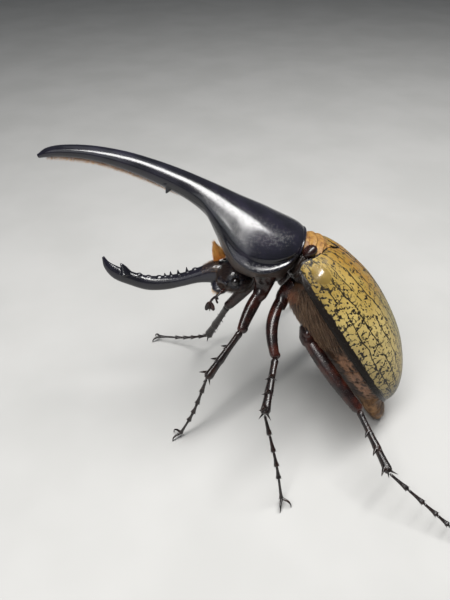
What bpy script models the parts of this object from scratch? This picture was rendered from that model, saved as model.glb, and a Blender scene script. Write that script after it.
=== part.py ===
"""Adult male hercules beetle reared up on its hind end, life size.

The beetle faces -X and +Z is up, so its left side faces -Y. Sizes are in millimetres, and MM turns
them into metres where a mesh or a place is written. The body has two frames: the fore body, which
carries the head and both horns, and the hind body, which carries the wing cases and the abdomen.
"""
import math
import random

import bmesh
import bpy
from mathutils import Euler, Matrix, Vector

MM = 0.001
GAP = 0.3
WELD = 0.0000001

# Hind body: +X runs to the tail, +Z is the back, and the origin is the middle of the wing case base.
HIND_AT = Vector((36.7, 14.5, 67.8))
HIND_PITCH = math.radians(51)
HIND_YAW = math.radians(-22)
HIND_ROLL = math.radians(-20.5)
ELYTRON_LENGTH = 61.5
ELYTRON_WALL = 1.1
SUTURE_GAP = 0.15
SCUTELLUM = (-0.6, 4.4)
SCUTELLUM_HALF_WIDTH = 3.0
BODY_INSET = 2.0
CHEST_START = 5.0
METASTERNUM_END = 27.0
BODY_SIDES = 26

# Fore body: +X runs to the tail, level with the floor, and the origin is inside the pronotum's rear.
FORE_AT = Vector((26.0, 13.0, 65.0))
FORE_YAW = math.radians(-6)
FORE_ROLL = math.radians(-7)
HORN_CUT = 5.45
HORN_SPLIT = 8.0
HORN_GAP = 0.2
HEAD_AT = Vector((-22.3, 0.0, -14.6))
HEAD_RADII = Vector((6.4, 6.6, 5.6))
EYE_RADIUS = 1.5
HEAD_FACE = -27.3
MOUTH_AT = Vector((-27.2, 0.0, -20.1))
MOUTH_RADII = Vector((2.4, 3.4, 1.7))

# Rows of the wing case: share of the length, half width, height of the suture, height of the margin.
ELYTRON_ROWS = (
    (-0.05, 12.6, -9.2, -15.0),
    (0.00, 14.4, -6.8, -15.2),
    (0.05, 16.6, -4.6, -15.2),
    (0.15, 19.0, -2.2, -14.9),
    (0.35, 20.8, 0.0, -14.8),
    (0.60, 20.6, -1.0, -15.2),
    (0.78, 18.0, -4.6, -16.1),
    (0.90, 13.4, -9.2, -17.1),
    (0.97, 8.0, -13.6, -17.9),
    (1.00, 3.7, -16.4, -18.3),
)

# Rows of the underside: distance from the base, lowest height.
BELLY_ROWS = (
    (0.0, -19.0),
    (6.0, -24.5),
    (14.0, -27.5),
    (27.0, -28.0),
    (40.0, -28.8),
    (50.0, -28.2),
    (57.0, -27.6),
    (62.0, -27.2),
)

# Rows of the tail plate past the wing cases: distance from the base, half width, top, bottom.
TAIL_ROWS = (
    (58.5, 9.2, -17.9, -27.4),
    (62.0, 8.6, -20.0, -27.4),
    (65.0, 7.4, -20.9, -27.4),
    (67.6, 5.4, -22.2, -27.0),
    (69.0, 3.2, -23.4, -26.2),
)

# Rows of the pronotum and its horn: station, top x and z, bottom x and z, half width, how far down
# the widest place is, and how sharp the lower flank is, from 1.1 (keeled rim) to 2 (round).
FORE_ROWS = (
    (0, -0.2, 2.6, -8.5, -15.5, 8.6, 0.22, 1.8),
    (1, -3.2, 4.5, -11.5, -16.2, 13.4, 0.36, 1.35),
    (2, -8.8, 6.9, -15.0, -15.8, 16.4, 0.48, 1.15),
    (3, -15.0, 9.8, -19.0, -14.4, 16.4, 0.55, 1.15),
    (4, -21.5, 12.6, -22.5, -12.0, 14.0, 0.56, 1.3),
    (5, -27.0, 15.2, -25.4, -7.0, 10.6, 0.5, 1.6),
    (6, -31.5, 17.2, -27.8, -1.0, 8.0, 0.46, 1.8),
    (7, -36.0, 19.1, -30.6, 5.5, 6.0, 0.46, 2.0),
    (8, -41.0, 21.0, -37.0, 11.0, 4.8, 0.47, 2.0),
    (9, -48.0, 23.3, -46.0, 15.5, 3.7, 0.48, 2.0),
    (10, -57.0, 25.6, -56.5, 19.7, 2.9, 0.5, 2.0),
    (11, -67.0, 26.9, -67.0, 22.4, 2.3, 0.5, 2.0),
    (12, -76.0, 26.8, -76.0, 23.1, 1.9, 0.5, 2.0),
    (13, -81.5, 25.7, -81.0, 22.8, 1.4, 0.5, 2.0),
    (14, -84.8, 23.6, -84.2, 22.4, 0.7, 0.5, 2.0),
)

# Rows of the head horn: station, top x and z, bottom x and z, half width.
HEAD_HORN_ROWS = (
    (0, -27.6, -11.0, -27.6, -18.0, 3.0),
    (1, -30.5, -12.0, -30.5, -18.0, 2.6),
    (2, -35.0, -13.3, -35.0, -18.4, 2.2),
    (3, -40.5, -15.2, -40.5, -20.2, 2.0),
    (4, -46.5, -16.8, -46.5, -21.8, 1.9),
    (5, -53.0, -17.8, -53.0, -22.3, 1.8),
    (6, -59.5, -16.4, -59.0, -20.8, 1.7),
    (7, -63.6, -14.8, -64.6, -18.6, 1.5),
    (8, -65.9, -12.6, -67.6, -14.8, 1.0),
    (9, -67.3, -10.6, -68.1, -11.0, 0.5),
)

# Locks of hair along the long horn's underside and across the brow.
FRINGE_LOCKS = 22
BROW_LOCKS = 4

# Leg joints: knee, ankle and toe of each leg, in the frame of the floor.
LEG_JOINTS = {
    "front_left": ((5.2, -4.0, 40.8), (-5.8, -13.0, 28.4), (-15.6, -14.5, 0.0)),
    "front_right": ((1.0, 22.0, 30.0), (-7.0, 30.0, 8.0), (-28.0, 36.0, 0.0)),
    "mid_left": ((16.0, -11.0, 35.6), (12.0, -28.0, 28.8), (17.8, -40.0, 0.0)),
    "mid_right": ((27.0, 38.0, 38.0), (27.0, 50.0, 22.0), (32.0, 60.0, 0.0)),
    "hind_left": ((43.0, -20.0, 21.0), (50.5, -37.0, 12.0), (71.6, -54.0, 0.0)),
    "hind_right": ((46.0, 38.0, 26.0), (58.0, 48.0, 12.0), (68.0, 54.0, 0.0)),
}
FEMUR_RADIUS = {"front": 2.3, "mid": 2.0, "hind": 2.5}
FEMUR_BOW = {"mid_left": (-2.0, 0.0, 0.4), "hind_right": (0.0, 0.0, -1.0)}
TIBIA_RADIUS = {"front": 1.65, "mid": 1.5, "hind": 1.5}
TARSUS_RADIUS = 0.72
TARSUS_BOW = Vector((1.2, 0.0, 0.0))


def clear_scene():
    for obj in list(bpy.data.objects):
        bpy.data.objects.remove(obj, do_unlink=True)


def material(name, color, roughness, metallic=0.0):
    mat = bpy.data.materials.new(name)
    mat.use_nodes = True
    shader = mat.node_tree.nodes["Principled BSDF"]
    shader.inputs["Base Color"].default_value = (*color, 1.0)
    shader.inputs["Roughness"].default_value = roughness
    shader.inputs["Metallic"].default_value = metallic
    return mat


def sample(rows, key):
    """Read a table whose rows start with a rising key, on a smooth curve through the rows."""
    last = len(rows) - 1
    key = min(max(key, rows[0][0]), rows[last][0])
    i = max(k for k in range(last) if rows[k][0] <= key)
    span = rows[i + 1][0] - rows[i][0]
    t = (key - rows[i][0]) / span

    def slope(k, column):
        low, high = rows[max(k - 1, 0)], rows[min(k + 1, last)]
        return (high[column] - low[column]) / (high[0] - low[0]) * span

    values = []
    for column in range(1, len(rows[0])):
        a, b = rows[i][column], rows[i + 1][column]
        da, db = slope(i, column), slope(i + 1, column)
        values.append((2 * t**3 - 3 * t**2 + 1) * a + (t**3 - 2 * t**2 + t) * da
                      + (3 * t**2 - 2 * t**3) * b + (t**3 - t**2) * db)
    return values


def bulge(value, power):
    """A sine or cosine bent so that a circle becomes a fuller or a sharper oval."""
    return math.copysign(abs(value) ** (2 / power), value)


def oval(centre, side, up, half_width, rise, drop, count, power=2.0, power_low=2.0):
    """One ring of points: half an oval above the centre and another half below it."""
    ring = []
    for k in range(count):
        angle = math.tau * k / count
        high = math.cos(angle)
        bend = power if high >= 0 else power_low
        reach = rise if high >= 0 else drop
        across = bulge(math.sin(angle), bend) * half_width
        ring.append(centre + side * across + up * (bulge(high, bend) * reach))
    return ring


def skin(rings):
    """A closed mesh over rings of equal counts, with a fan of faces at each end."""
    count = len(rings[0])
    verts = [point for ring in rings for point in ring]
    faces = []
    for i in range(len(rings) - 1):
        for j in range(count):
            k = (j + 1) % count
            faces.append((i * count + j, i * count + k, (i + 1) * count + k, (i + 1) * count + j))
    for ring_index in (0, len(rings) - 1):
        middle = len(verts)
        verts.append(sum(rings[ring_index], Vector()) / count)
        start = ring_index * count
        faces.extend((start + j, start + (j + 1) % count, middle) for j in range(count))
    return verts, faces


def make(name, shape, mat, parent=None):
    """A closed object from points in millimetres, facing out, in the parent's frame."""
    verts, faces = shape
    mesh = bpy.data.meshes.new(name)
    mesh.from_pydata([point * MM for point in verts], [], faces)
    form = bmesh.new()
    form.from_mesh(mesh)
    bmesh.ops.recalc_face_normals(form, faces=form.faces)
    form.to_mesh(mesh)
    form.free()
    mesh.shade_smooth()
    mesh.materials.append(mat)
    obj = bpy.data.objects.new(name, mesh)
    PARTS.objects.link(obj)
    obj.parent = parent
    return obj


def ball(name, centre, radii, turn, mat, parent, segments=20, rings=12):
    """A closed ellipsoid from a sphere."""
    form = bmesh.new()
    shape = Matrix.Translation(centre * MM) @ turn.to_4x4() @ Matrix.Diagonal((*(radii * MM), 1.0))
    bmesh.ops.create_uvsphere(form, u_segments=segments, v_segments=rings, radius=1.0, matrix=shape)
    mesh = bpy.data.meshes.new(name)
    form.to_mesh(mesh)
    form.free()
    mesh.shade_smooth()
    mesh.materials.append(mat)
    obj = bpy.data.objects.new(name, mesh)
    PARTS.objects.link(obj)
    obj.parent = parent
    return obj


def tube(path, radii, count, side, flat=1.0):
    """Rings along a path: side is the wide way across, and flat is the other way's share."""
    rings = []
    last = len(path) - 1
    for i, point in enumerate(path):
        along = (path[min(i + 1, last)] - path[max(i - 1, 0)]).normalized()
        across = (side - along * side.dot(along)).normalized()
        other = along.cross(across)
        rings.append(oval(point, across, other, radii[i], radii[i] * flat, radii[i] * flat, count))
    return skin(rings)


def curve_points(knots, count):
    """Points spread along a smooth curve through a few knots."""
    rows = [(k, *knot) for k, knot in enumerate(knots)]
    last = len(knots) - 1
    return [Vector(sample(rows, last * i / (count - 1))) for i in range(count)]


def spike(root, tip, radius, sides=5):
    """A closed cone: a tooth or a spine."""
    along = (tip - root).normalized()
    side = along.orthogonal().normalized()
    other = along.cross(side)
    base = oval(root, side, other, radius, radius, radius, sides)
    neck = oval(root.lerp(tip, 0.55), side, other, radius * 0.6, radius * 0.6, radius * 0.6, sides)
    verts = base + neck + [tip, root]
    faces = []
    for j in range(sides):
        k = (j + 1) % sides
        faces.append((j, k, sides + k, sides + j))
        faces.append((sides + j, sides + k, 2 * sides))
        faces.append((k, j, 2 * sides + 1))
    return verts, faces


def lock(root, out, lie, length, width, side=None):
    """A flat tapered lock of hair that leaves along out and bends over to lie."""
    knots = (root, root + (out * 0.75 + lie * 0.25) * length * 0.5, root + (out * 0.35 + lie * 0.65) * length)
    path = curve_points(knots, 4)
    side = side or out.cross(lie).normalized()
    radii = [width * 0.5, width * 0.46, width * 0.32, width * 0.1]
    return tube(path, radii, 4, side, 0.6)


def bake(obj):
    """Replace an object's mesh by the one that its modifiers make."""
    graph = bpy.context.evaluated_depsgraph_get()
    mesh = bpy.data.meshes.new_from_object(obj.evaluated_get(graph))
    obj.modifiers.clear()
    obj.data = mesh


def keep_largest(obj):
    """Drop every surface but the one with the most faces' area."""
    form = bmesh.new()
    form.from_mesh(obj.data)
    bmesh.ops.remove_doubles(form, verts=form.verts, dist=WELD)
    left = set(form.faces)
    shells = []
    while left:
        shell = {left.pop()}
        front = list(shell)
        while front:
            face = front.pop()
            for edge in face.edges:
                for near in edge.link_faces:
                    if near in left:
                        left.discard(near)
                        shell.add(near)
                        front.append(near)
        shells.append(shell)
    largest = max(shells, key=lambda shell: sum(face.calc_area() for face in shell))
    loose = [face for shell in shells if shell is not largest for face in shell]
    bmesh.ops.delete(form, geom=loose, context="FACES")
    form.to_mesh(obj.data)
    form.free()


def triangulate(obj):
    """Split every face into triangles, so that each one is flat."""
    form = bmesh.new()
    form.from_mesh(obj.data)
    bmesh.ops.triangulate(form, faces=form.faces)
    form.to_mesh(obj.data)
    form.free()


def combine(base, pieces, operation, solver="EXACT"):
    """Join pieces to a base, or cut them out of it, by one Boolean on a collection."""
    for obj in (base, *pieces):
        triangulate(obj)
    group = bpy.data.collections.new(base.name + "_pieces")
    bpy.context.scene.collection.children.link(group)
    for piece in pieces:
        PARTS.objects.unlink(piece)
        group.objects.link(piece)
        piece.hide_render = True
        piece.display_type = "WIRE"
    modifier = base.modifiers.new(operation.lower(), "BOOLEAN")
    modifier.operation = operation
    modifier.operand_type = "COLLECTION"
    modifier.collection = group
    modifier.solver = solver
    bake(base)
    for piece in pieces:
        bpy.data.objects.remove(piece, do_unlink=True)
    bpy.data.collections.remove(group)
    keep_largest(base)


def frame_empty(name, place, turn, parent):
    empty = bpy.data.objects.new(name, None)
    PARTS.objects.link(empty)
    empty.location = place * MM
    empty.rotation_euler = turn
    empty.parent = parent
    return empty


def frame_matrix(place, turn):
    """The same frame in millimetres."""
    return Matrix.Translation(place) @ turn.to_matrix().to_4x4()


HIND_TURN = Euler((HIND_ROLL, HIND_PITCH, HIND_YAW), "XYZ")
FORE_TURN = Euler((FORE_ROLL, 0.0, FORE_YAW), "XYZ")
HIND = frame_matrix(HIND_AT, HIND_TURN)
FORE = frame_matrix(FORE_AT, FORE_TURN)
PARTS = bpy.data.collections.new("hercules_beetle")


def hind_section(s):
    """Half width, height of the back and height of the margin at a distance from the base."""
    return sample(ELYTRON_ROWS, s / ELYTRON_LENGTH)


def base_edge(v):
    """Where a wing case starts, from the suture, v = 0, to its margin, v = 1."""
    notch = 3.0 * max(0.0, 1 - v / 0.14)
    corner = 1.4 * (max(0.0, v - 0.85) / 0.15) ** 2
    return 2.2 * (1 - v) ** 1.5 - 2.4 * v**1.1 + notch + corner


def elytron(name, side, mat, parent):
    """One wing case: an open curved sheet with a wall, a rim and a shoulder knob."""
    along_count, across_count = 22, 11
    verts, faces = [], []
    for i in range(along_count + 1):
        share = 0.5 - 0.5 * math.cos(math.pi * i / along_count)
        for j in range(across_count + 1):
            v = j / across_count
            angle = v * math.radians(97)
            start = base_edge(v)
            s = start + share * (ELYTRON_LENGTH - start)
            width, crest, margin = hind_section(s)
            rim = 0.5 * max(0.0, (v - 0.9) / 0.1)
            knob = 1.5 * math.exp(-((s - 4.0) / 3.2) ** 2 - ((v - 0.68) / 0.13) ** 2)
            y = SUTURE_GAP + (width - SUTURE_GAP + rim) * bulge(math.sin(angle), 2.2)
            z = margin + (crest - margin) * bulge(math.cos(angle), 2.2)
            y += knob * math.sin(angle)
            z += knob * math.cos(angle)
            verts.append(Vector((s, side * y, z)))
    for i in range(along_count):
        for j in range(across_count):
            a = i * (across_count + 1) + j
            quad = (a, a + 1, a + across_count + 2, a + across_count + 1)
            faces.append(quad if side < 0 else quad[::-1])
    mesh = bpy.data.meshes.new(name)
    mesh.from_pydata([point * MM for point in verts], [], faces)
    mesh.shade_smooth()
    mesh.materials.append(mat)
    obj = bpy.data.objects.new(name, mesh)
    PARTS.objects.link(obj)
    obj.parent = parent
    wall = obj.modifiers.new("wall", "SOLIDIFY")
    wall.thickness = ELYTRON_WALL * MM
    wall.offset = -1
    wall.use_even_offset = False
    return obj


def body_ring(s, grow=0.0, count=BODY_SIDES):
    """A cross-section of the hind body under the wing cases."""
    width, crest, margin = hind_section(s)
    (low,) = sample(BELLY_ROWS, s)
    half = max(width - BODY_INSET, 1.0) + grow
    rise = max(crest - BODY_INSET - margin, 0.6) + grow
    centre = Vector((s, 0.0, margin))
    return oval(centre, Vector((0, 1, 0)), Vector((0, 0, 1)), half, rise, margin - low + grow,
                count, 2.2, 1.8)


def pterothorax(mat, parent):
    rings = [body_ring(s) for s in (CHEST_START, 8.0, 12.0, 16.0, 20.0, 24.0, METASTERNUM_END)]
    return make("pterothorax", skin(rings), mat, parent)


def abdomen(mat, parent):
    """Six plates with shallow grooves between them, ending in a blunt tail plate."""
    rings = []
    plates = (METASTERNUM_END + GAP, 33.0, 38.5, 43.5, 48.0, 52.0, 56.0)
    for start, end in zip(plates, plates[1:]):
        rings.append(body_ring(start, -0.35))
        rings.append(body_ring(start + 0.8))
        rings.append(body_ring(end - 0.5))
    side, up = Vector((0, 1, 0)), Vector((0, 0, 1))
    for s, half, top, low in TAIL_ROWS:
        middle = (top + low) / 2
        rings.append(oval(Vector((s, 0, middle)), side, up, half, top - middle, middle - low, BODY_SIDES))
    return make("abdomen", skin(rings), mat, parent)


def fore_ring(station, count=28):
    """A cross-section of the pronotum and its horn."""
    top_x, top_z, low_x, low_z, half, level, sharp = sample(FORE_ROWS, station)
    top, low = Vector((top_x, 0, top_z)), Vector((low_x, 0, low_z))
    centre = top.lerp(low, level)
    up = (top - low).normalized()
    return oval(centre, Vector((0, 1, 0)), up, half, (top - centre).length, (centre - low).length,
                count, 2.0, sharp)


def pronotum(mat, parent):
    stations = (0.0, 0.3, 0.8, 1.4, 2.0, 2.6, 3.2, 3.8, 4.4, 5.0, HORN_CUT)
    return make("pronotum", skin([fore_ring(station) for station in stations]), mat, parent)


def thoracic_horn(mat, parent):
    """The long horn's arched root, and its outer part with a tooth on each flank and a fringe below."""
    root_stations = [HORN_CUT + HORN_GAP, 5.9, 6.3, 6.7, 7.1, 7.5, HORN_SPLIT]
    make("horn_thoracic", skin([fore_ring(station, 20) for station in root_stations]), mat, parent)
    stations = [HORN_SPLIT + 0.04] + [8.3 + 0.4 * k for k in range(15)] + [14.0]
    horn = make("horn_thoracic_tip", skin([fore_ring(station, 16) for station in stations]), mat, parent)
    pieces = []
    for side in (-1, 1):
        root = Vector((-43.5, side * 2.0, 16.6))
        tip = Vector((-44.3, side * 4.0, 13.4))
        pieces.append(make("tooth", spike(root, tip, 1.3, 6), mat, parent))
    draw = random.Random(7)
    for k in range(FRINGE_LOCKS):
        station = 8.5 + (13.2 - 8.5) * k / (FRINGE_LOCKS - 1)
        top_x, top_z, low_x, low_z = sample(FORE_ROWS, station)[:4]
        root = Vector((low_x, draw.uniform(-0.3, 0.3), low_z)).lerp(Vector((top_x, 0, top_z)), 0.2)
        lie = Vector((-1.0, draw.uniform(-0.2, 0.2), -0.7)).normalized()
        shape = lock(root, Vector((0, 0, -1)), lie, draw.uniform(2.6, 3.1), 2.3, Vector((1, 0, 0)))
        pieces.append(make("lock", shape, mat, parent))
    combine(horn, pieces, "UNION")


def head_horn(mat, parent):
    """The lower horn, which curves up at its tip and carries teeth along its top."""
    rings = []
    for k in range(22):
        station = 9 * k / 21
        top_x, top_z, low_x, low_z, half = sample(HEAD_HORN_ROWS, station)
        top, low = Vector((top_x, 0, top_z)), Vector((low_x, 0, low_z))
        reach = (top - low).length / 2
        up = (top - low).normalized()
        rings.append(oval((top + low) / 2, Vector((0, 1, 0)), up, half, reach, reach, 12))
    horn = make("horn_cephalic", skin(rings), mat, parent)
    teeth = [((-61.4, -17.0), (-62.4, -11.9), 1.5)]
    for x, height in ((-46.4, 2.0), (-44.4, 2.2), (-41.8, 2.4), (-38.8, 2.6)):
        top_z = -16.9 + (x + 46.4) * 0.28
        teeth.append(((x, top_z - 1.2), (x - 0.3, top_z + height), 0.75))
    pieces = []
    for (root_x, root_z), (tip_x, tip_z), radius in teeth:
        shape = spike(Vector((root_x, 0, root_z)), Vector((tip_x, 0, tip_z)), radius, 6)
        pieces.append(make("tooth", shape, mat, parent))
    combine(horn, pieces, "UNION")
    return horn


def neck(mat, floor):
    """The waist: skin that widens from the shield's rear to the wing cases, with a lobe on each side."""
    hind_side, hind_up = HIND.to_3x3() @ Vector((0, 1, 0)), HIND.to_3x3() @ Vector((0, 0, 1))
    hind_back = HIND.to_3x3() @ Vector((1, 0, 0))
    fore_side = FORE.to_3x3() @ Vector((0, 1, 0))
    top_x, top_z, low_x, low_z = sample(FORE_ROWS, 0.0)[:4]
    top, low = Vector((top_x, 0, top_z)), Vector((low_x, 0, low_z))
    face = FORE.to_3x3() @ (top - low).normalized()
    away = fore_side.cross(face).normalized()
    if away.dot(hind_back) < 0:
        away = -away
    ends = ((FORE @ top.lerp(low, 0.38) + away * (GAP + 0.1), fore_side, face, 7.4, 6.6, 6.0),
            (HIND @ Vector((CHEST_START - GAP, 0, -15.2)), hind_side, hind_up, 11.2, 5.2, 5.0))
    rings = []
    for share in (0.0, 0.12, 0.3, 0.5, 0.7, 0.88, 1.0):
        centre, side, up, half, rise, drop = [a.lerp(b, share) if isinstance(a, Vector) else a + (b - a) * share
                                              for a, b in zip(*ends)]
        swell = math.sin(math.pi * share)
        rings.append(oval(centre, side.normalized(), up.normalized(), half + 2.2 * swell,
                          rise + 1.4 * swell, drop, 28))
    waist = make("neck", skin(rings), mat, floor)
    lobes = []
    for side in (-1, 1):
        spot = HIND @ Vector((-2.2, side * 9.9, -10.4))
        lobes.append(ball("lobe", spot, Vector((1.8, 2.3, 2.4)), HIND.to_3x3(), mat, floor, 14, 9))
    combine(waist, lobes, "UNION")
    return waist


def scutellum(mat, parent):
    """The small three-cornered plate between the bases of the wing cases."""
    rings = []
    start, end = SCUTELLUM
    for share, spread in ((0.0, 1.0), (0.5, 0.66), (1.0, 0.1)):
        s = start + (end - start) * share
        crest = hind_section(s)[1]
        half = SCUTELLUM_HALF_WIDTH * spread
        side, up = Vector((0, 1, 0)), Vector((0, 0, 1))
        rings.append(oval(Vector((s, 0, crest - 0.4)), side, up, half, 0.4, 0.3, 10))
    return make("scutellum", skin(rings), mat, parent)


def antenna(name, side, mat, parent):
    """An elbowed feeler with three leaves at its end."""
    base = HEAD_AT + Vector((-3.2, side * 5.9, -2.4))
    knots = (base, base + Vector((-1.6, side * 1.9, -1.0)), base + Vector((-3.6, side * 2.4, -2.6)),
             base + Vector((-4.6, side * 2.2, -4.4)))
    path = curve_points(knots, 9)
    radii = [0.42, 0.5, 0.36, 0.42, 0.34, 0.4, 0.34, 0.4, 0.42]
    stalk = make(name, tube(path, radii, 7, Vector((0, side, 0))), mat, parent)
    leaves = []
    for k in range(3):
        lean = Vector((-0.35 + 0.35 * k, 0, -1)).normalized()
        centre = path[-1] + lean * 1.3 + Vector((0.28 * (k - 1), 0, 0))
        turn = lean.to_track_quat("Z", "Y").to_matrix()
        leaves.append(ball("leaf", centre, Vector((0.34, 0.85, 1.9)), turn, mat, parent, 6, 6))
    combine(stalk, leaves, "UNION")
    return stalk


def mouthparts(mat, parent):
    """The lip and jaws under the horn's root, with two pairs of feelers."""
    jaw = ball("mouthparts", MOUTH_AT, MOUTH_RADII, Matrix.Identity(3), mat, parent, 16, 10)
    pieces = []
    for side in (-1, 1):
        for offset, reach in ((1.2, 2.6), (2.4, 3.4)):
            root = MOUTH_AT + Vector((-0.6, side * offset, -0.9))
            knots = (root, root + Vector((-0.8, side * 0.6, -reach * 0.5)),
                     root + Vector((-0.2, side * 0.9, -reach)))
            pieces.append(make("palp", tube(curve_points(knots, 5), [0.4, 0.42, 0.36, 0.4, 0.3], 6,
                                            Vector((0, 1, 0))), mat, parent))
    combine(jaw, pieces, "UNION")
    return jaw


def brow(head, mat, parent):
    """The upright tuft between the horns, rooted on the crown of the head."""
    draw = random.Random(5)
    pieces = []
    for row in range(2):
        for k in range(BROW_LOCKS):
            across = (k - (BROW_LOCKS - 1) / 2) * 1.3
            root = Vector((-25.7 - 0.3 * row, across, -10.0 - 0.2 * row))
            lie = Vector((-0.14 - 0.22 * row, -across * 0.06, 1.0)).normalized()
            length = (8.9 - 1.4 * row) * (1 - 0.05 * abs(across) ** 1.5) * draw.uniform(0.94, 1.0)
            out = Vector((-0.62, across * 0.16, 1.0)).normalized()
            pieces.append(make("lock", lock(root, out, lie, length, 3.0, Vector((1, 0, 0))), mat, parent))
    combine(head, pieces, "UNION")


def leg(pair, side_name, coxa_at, coxa_radii, coxa_frame, mats, floor, beside):
    """Coxa, femur, tibia and tarsus of one leg; a hind thigh lies in a groove of the bodies beside it."""
    name = f"leg_{pair}_{side_name}"
    knee, ankle, toe = (Vector(point) for point in LEG_JOINTS[f"{pair}_{side_name}"])
    coxa_turn = coxa_frame.to_3x3()
    coxa = ball(f"{name}_coxa", coxa_at, coxa_radii, coxa_turn, mats["limb"], floor, 12, 9)
    radius = FEMUR_RADIUS[pair]
    start_way = (knee - coxa_at).normalized()
    local = coxa_turn.transposed() @ start_way
    reach = 1 / math.sqrt(sum((local[k] / coxa_radii[k]) ** 2 for k in range(3)))
    femur_start = coxa_at + start_way * (reach + GAP + 0.5)
    out = start_way.cross((ankle - knee).normalized()).normalized()
    bow = start_way.cross(out) * -1.0
    shares = (0.0, 0.12, 0.35, 0.6, 0.82, 0.95, 1.0)
    widths = (0.62, 0.88, 1.0, 0.95, 0.82, 0.72, 0.35)
    knee_stop = knee - start_way * 0.2
    sway = bow * 0.6 + Vector(FEMUR_BOW.get(f"{pair}_{side_name}", (0.0, 0.0, 0.0)))
    path = [femur_start.lerp(knee_stop, t) + sway * math.sin(math.pi * t) for t in shares]
    shape = tube(path, [radius * w for w in widths], 10, out, 0.85)
    femur = make(f"{name}_femur", shape, mats["limb"], floor)
    if pair == "hind":
        room = [path[0] - start_way * GAP] + path[1:]
        for body in beside:
            shape = tube(room, [radius * w + GAP + 0.05 for w in widths], 10, out, 0.88)
            combine(body, [make("groove", shape, mats["limb"], floor)], "DIFFERENCE")

    radius = TIBIA_RADIUS[pair]
    way = (ankle - knee).normalized()
    begin = knee + way * (GAP + 0.3)
    shares = (0.0, 0.06, 0.2, 0.5, 0.8, 0.95, 1.0)
    widths = (0.5, 0.8, 0.75, 0.85, 0.98, 1.0, 0.6)
    path = [begin.lerp(ankle, t) for t in shares]
    tibia = make(f"{name}_tibia", tube(path, [radius * w for w in widths], 8, out, 0.8), mats["claw"], floor)
    length = (ankle - begin).length
    teeth = []
    outer = (way.cross(out)).normalized()
    if outer.dot(bow) < 0:
        outer = -outer
    for share, size in ((0.35, 1.6), (0.62, 2.0), (0.9, 2.6)):
        root = begin + way * (length * share)
        tip = root + outer * (radius + size) + way * (size * 0.9)
        teeth.append(make("tooth", spike(root, tip, 0.75, 5), mats["claw"], floor))
    for turn in (-1, 1):
        root = ankle - way * 1.0
        tip = ankle + way * 1.7 - outer * 1.2 + out * (turn * 2.1)
        teeth.append(make("spur", spike(root, tip, 0.55, 5), mats["claw"], floor))
    combine(tibia, teeth, "UNION")

    tarsus = tarsus_and_claws(name, ankle, way, toe, mats["claw"], floor)
    return coxa, femur, tibia, tarsus


def tarsus_and_claws(name, ankle, way, toe, mat, floor):
    """Five segments in a chain and two hooked claws that stand on the floor."""
    heel = toe + Vector((0, 0, 2.0))
    start = ankle + way * (GAP + 0.35)
    rest = (heel - start).length
    knots = (start, start.lerp(heel, 0.5) + way * rest * 0.06 + TARSUS_BOW, heel)
    points, radii = [], []
    ends = (0.0, 0.2, 0.37, 0.53, 0.69, 1.0)
    for begin, end in zip(ends, ends[1:]):
        for share, width in ((0.02, 0.62), (0.7, 1.0), (0.97, 0.95)):
            points.append(begin + (end - begin) * share)
            radii.append(TARSUS_RADIUS * width)
    rows = [(k, *knot) for k, knot in enumerate(knots)]
    path = [Vector(sample(rows, 2 * t)) for t in points]
    along = (path[-1] - path[-2]).normalized()
    side = along.cross(Vector((0, 0, 1)))
    if side.length < 0.2:
        side = Vector((0, 1, 0))
    side.normalize()
    foot = make(f"{name}_tarsus", tube(path, radii, 7, side), mat, floor)
    claws = []
    flat = Vector((along.x, along.y, 0))
    flat = flat.normalized() if flat.length > 0.1 else Vector((1, 0, 0))
    root = path[-1] - along * 0.5
    for turn in (-1, 1):
        knots = (root, root + flat * 1.6 + side * (turn * 1.2) + Vector((0, 0, -0.2)),
                 Vector((root.x, root.y, 0.05)) + flat * 3.0 + side * (turn * 2.0))
        claw_path = curve_points(knots, 5)
        shape = tube(claw_path, [0.45, 0.42, 0.36, 0.3, 0.26], 5, side)
        claws.append(make("claw", shape, mat, floor))
    combine(foot, claws, "UNION")
    trim_floor(foot)
    return foot


def cut_flat(obj, point, normal):
    """Cut an object off at a plane in its own frame and close it there; the normal points to what stays."""
    form = bmesh.new()
    form.from_mesh(obj.data)
    bmesh.ops.bisect_plane(form, geom=form.verts[:] + form.edges[:] + form.faces[:], plane_co=point * MM,
                           plane_no=normal, clear_inner=True, dist=0.000001)
    rim = [edge for edge in form.edges if edge.is_boundary]
    if rim:
        bmesh.ops.holes_fill(form, edges=rim, sides=0)
        bmesh.ops.triangulate(form, faces=[face for face in form.faces if len(face.verts) > 4])
        bmesh.ops.recalc_face_normals(form, faces=form.faces)
    form.to_mesh(obj.data)
    form.free()


def trim_floor(obj, frame=Matrix.Identity(4)):
    """Cut an object off flat at the floor; the frame is where its own points are measured."""
    to_local = frame.inverted()
    cut_flat(obj, to_local @ Vector(), to_local.to_3x3() @ Vector((0, 0, 1)))


def centre_on_floor(floor):
    """Move the whole so that the middle of its footprint is the origin."""
    graph = bpy.context.evaluated_depsgraph_get()
    solids = [obj.evaluated_get(graph) for obj in PARTS.objects if obj.type == "MESH"]
    points = [solid.matrix_world @ vert.co for solid in solids for vert in solid.data.vertices]
    low = [min(point[k] for point in points) for k in range(2)]
    high = [max(point[k] for point in points) for k in range(2)]
    floor.location = (-(low[0] + high[0]) / 2, -(low[1] + high[1]) / 2, 0.0)


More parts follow.
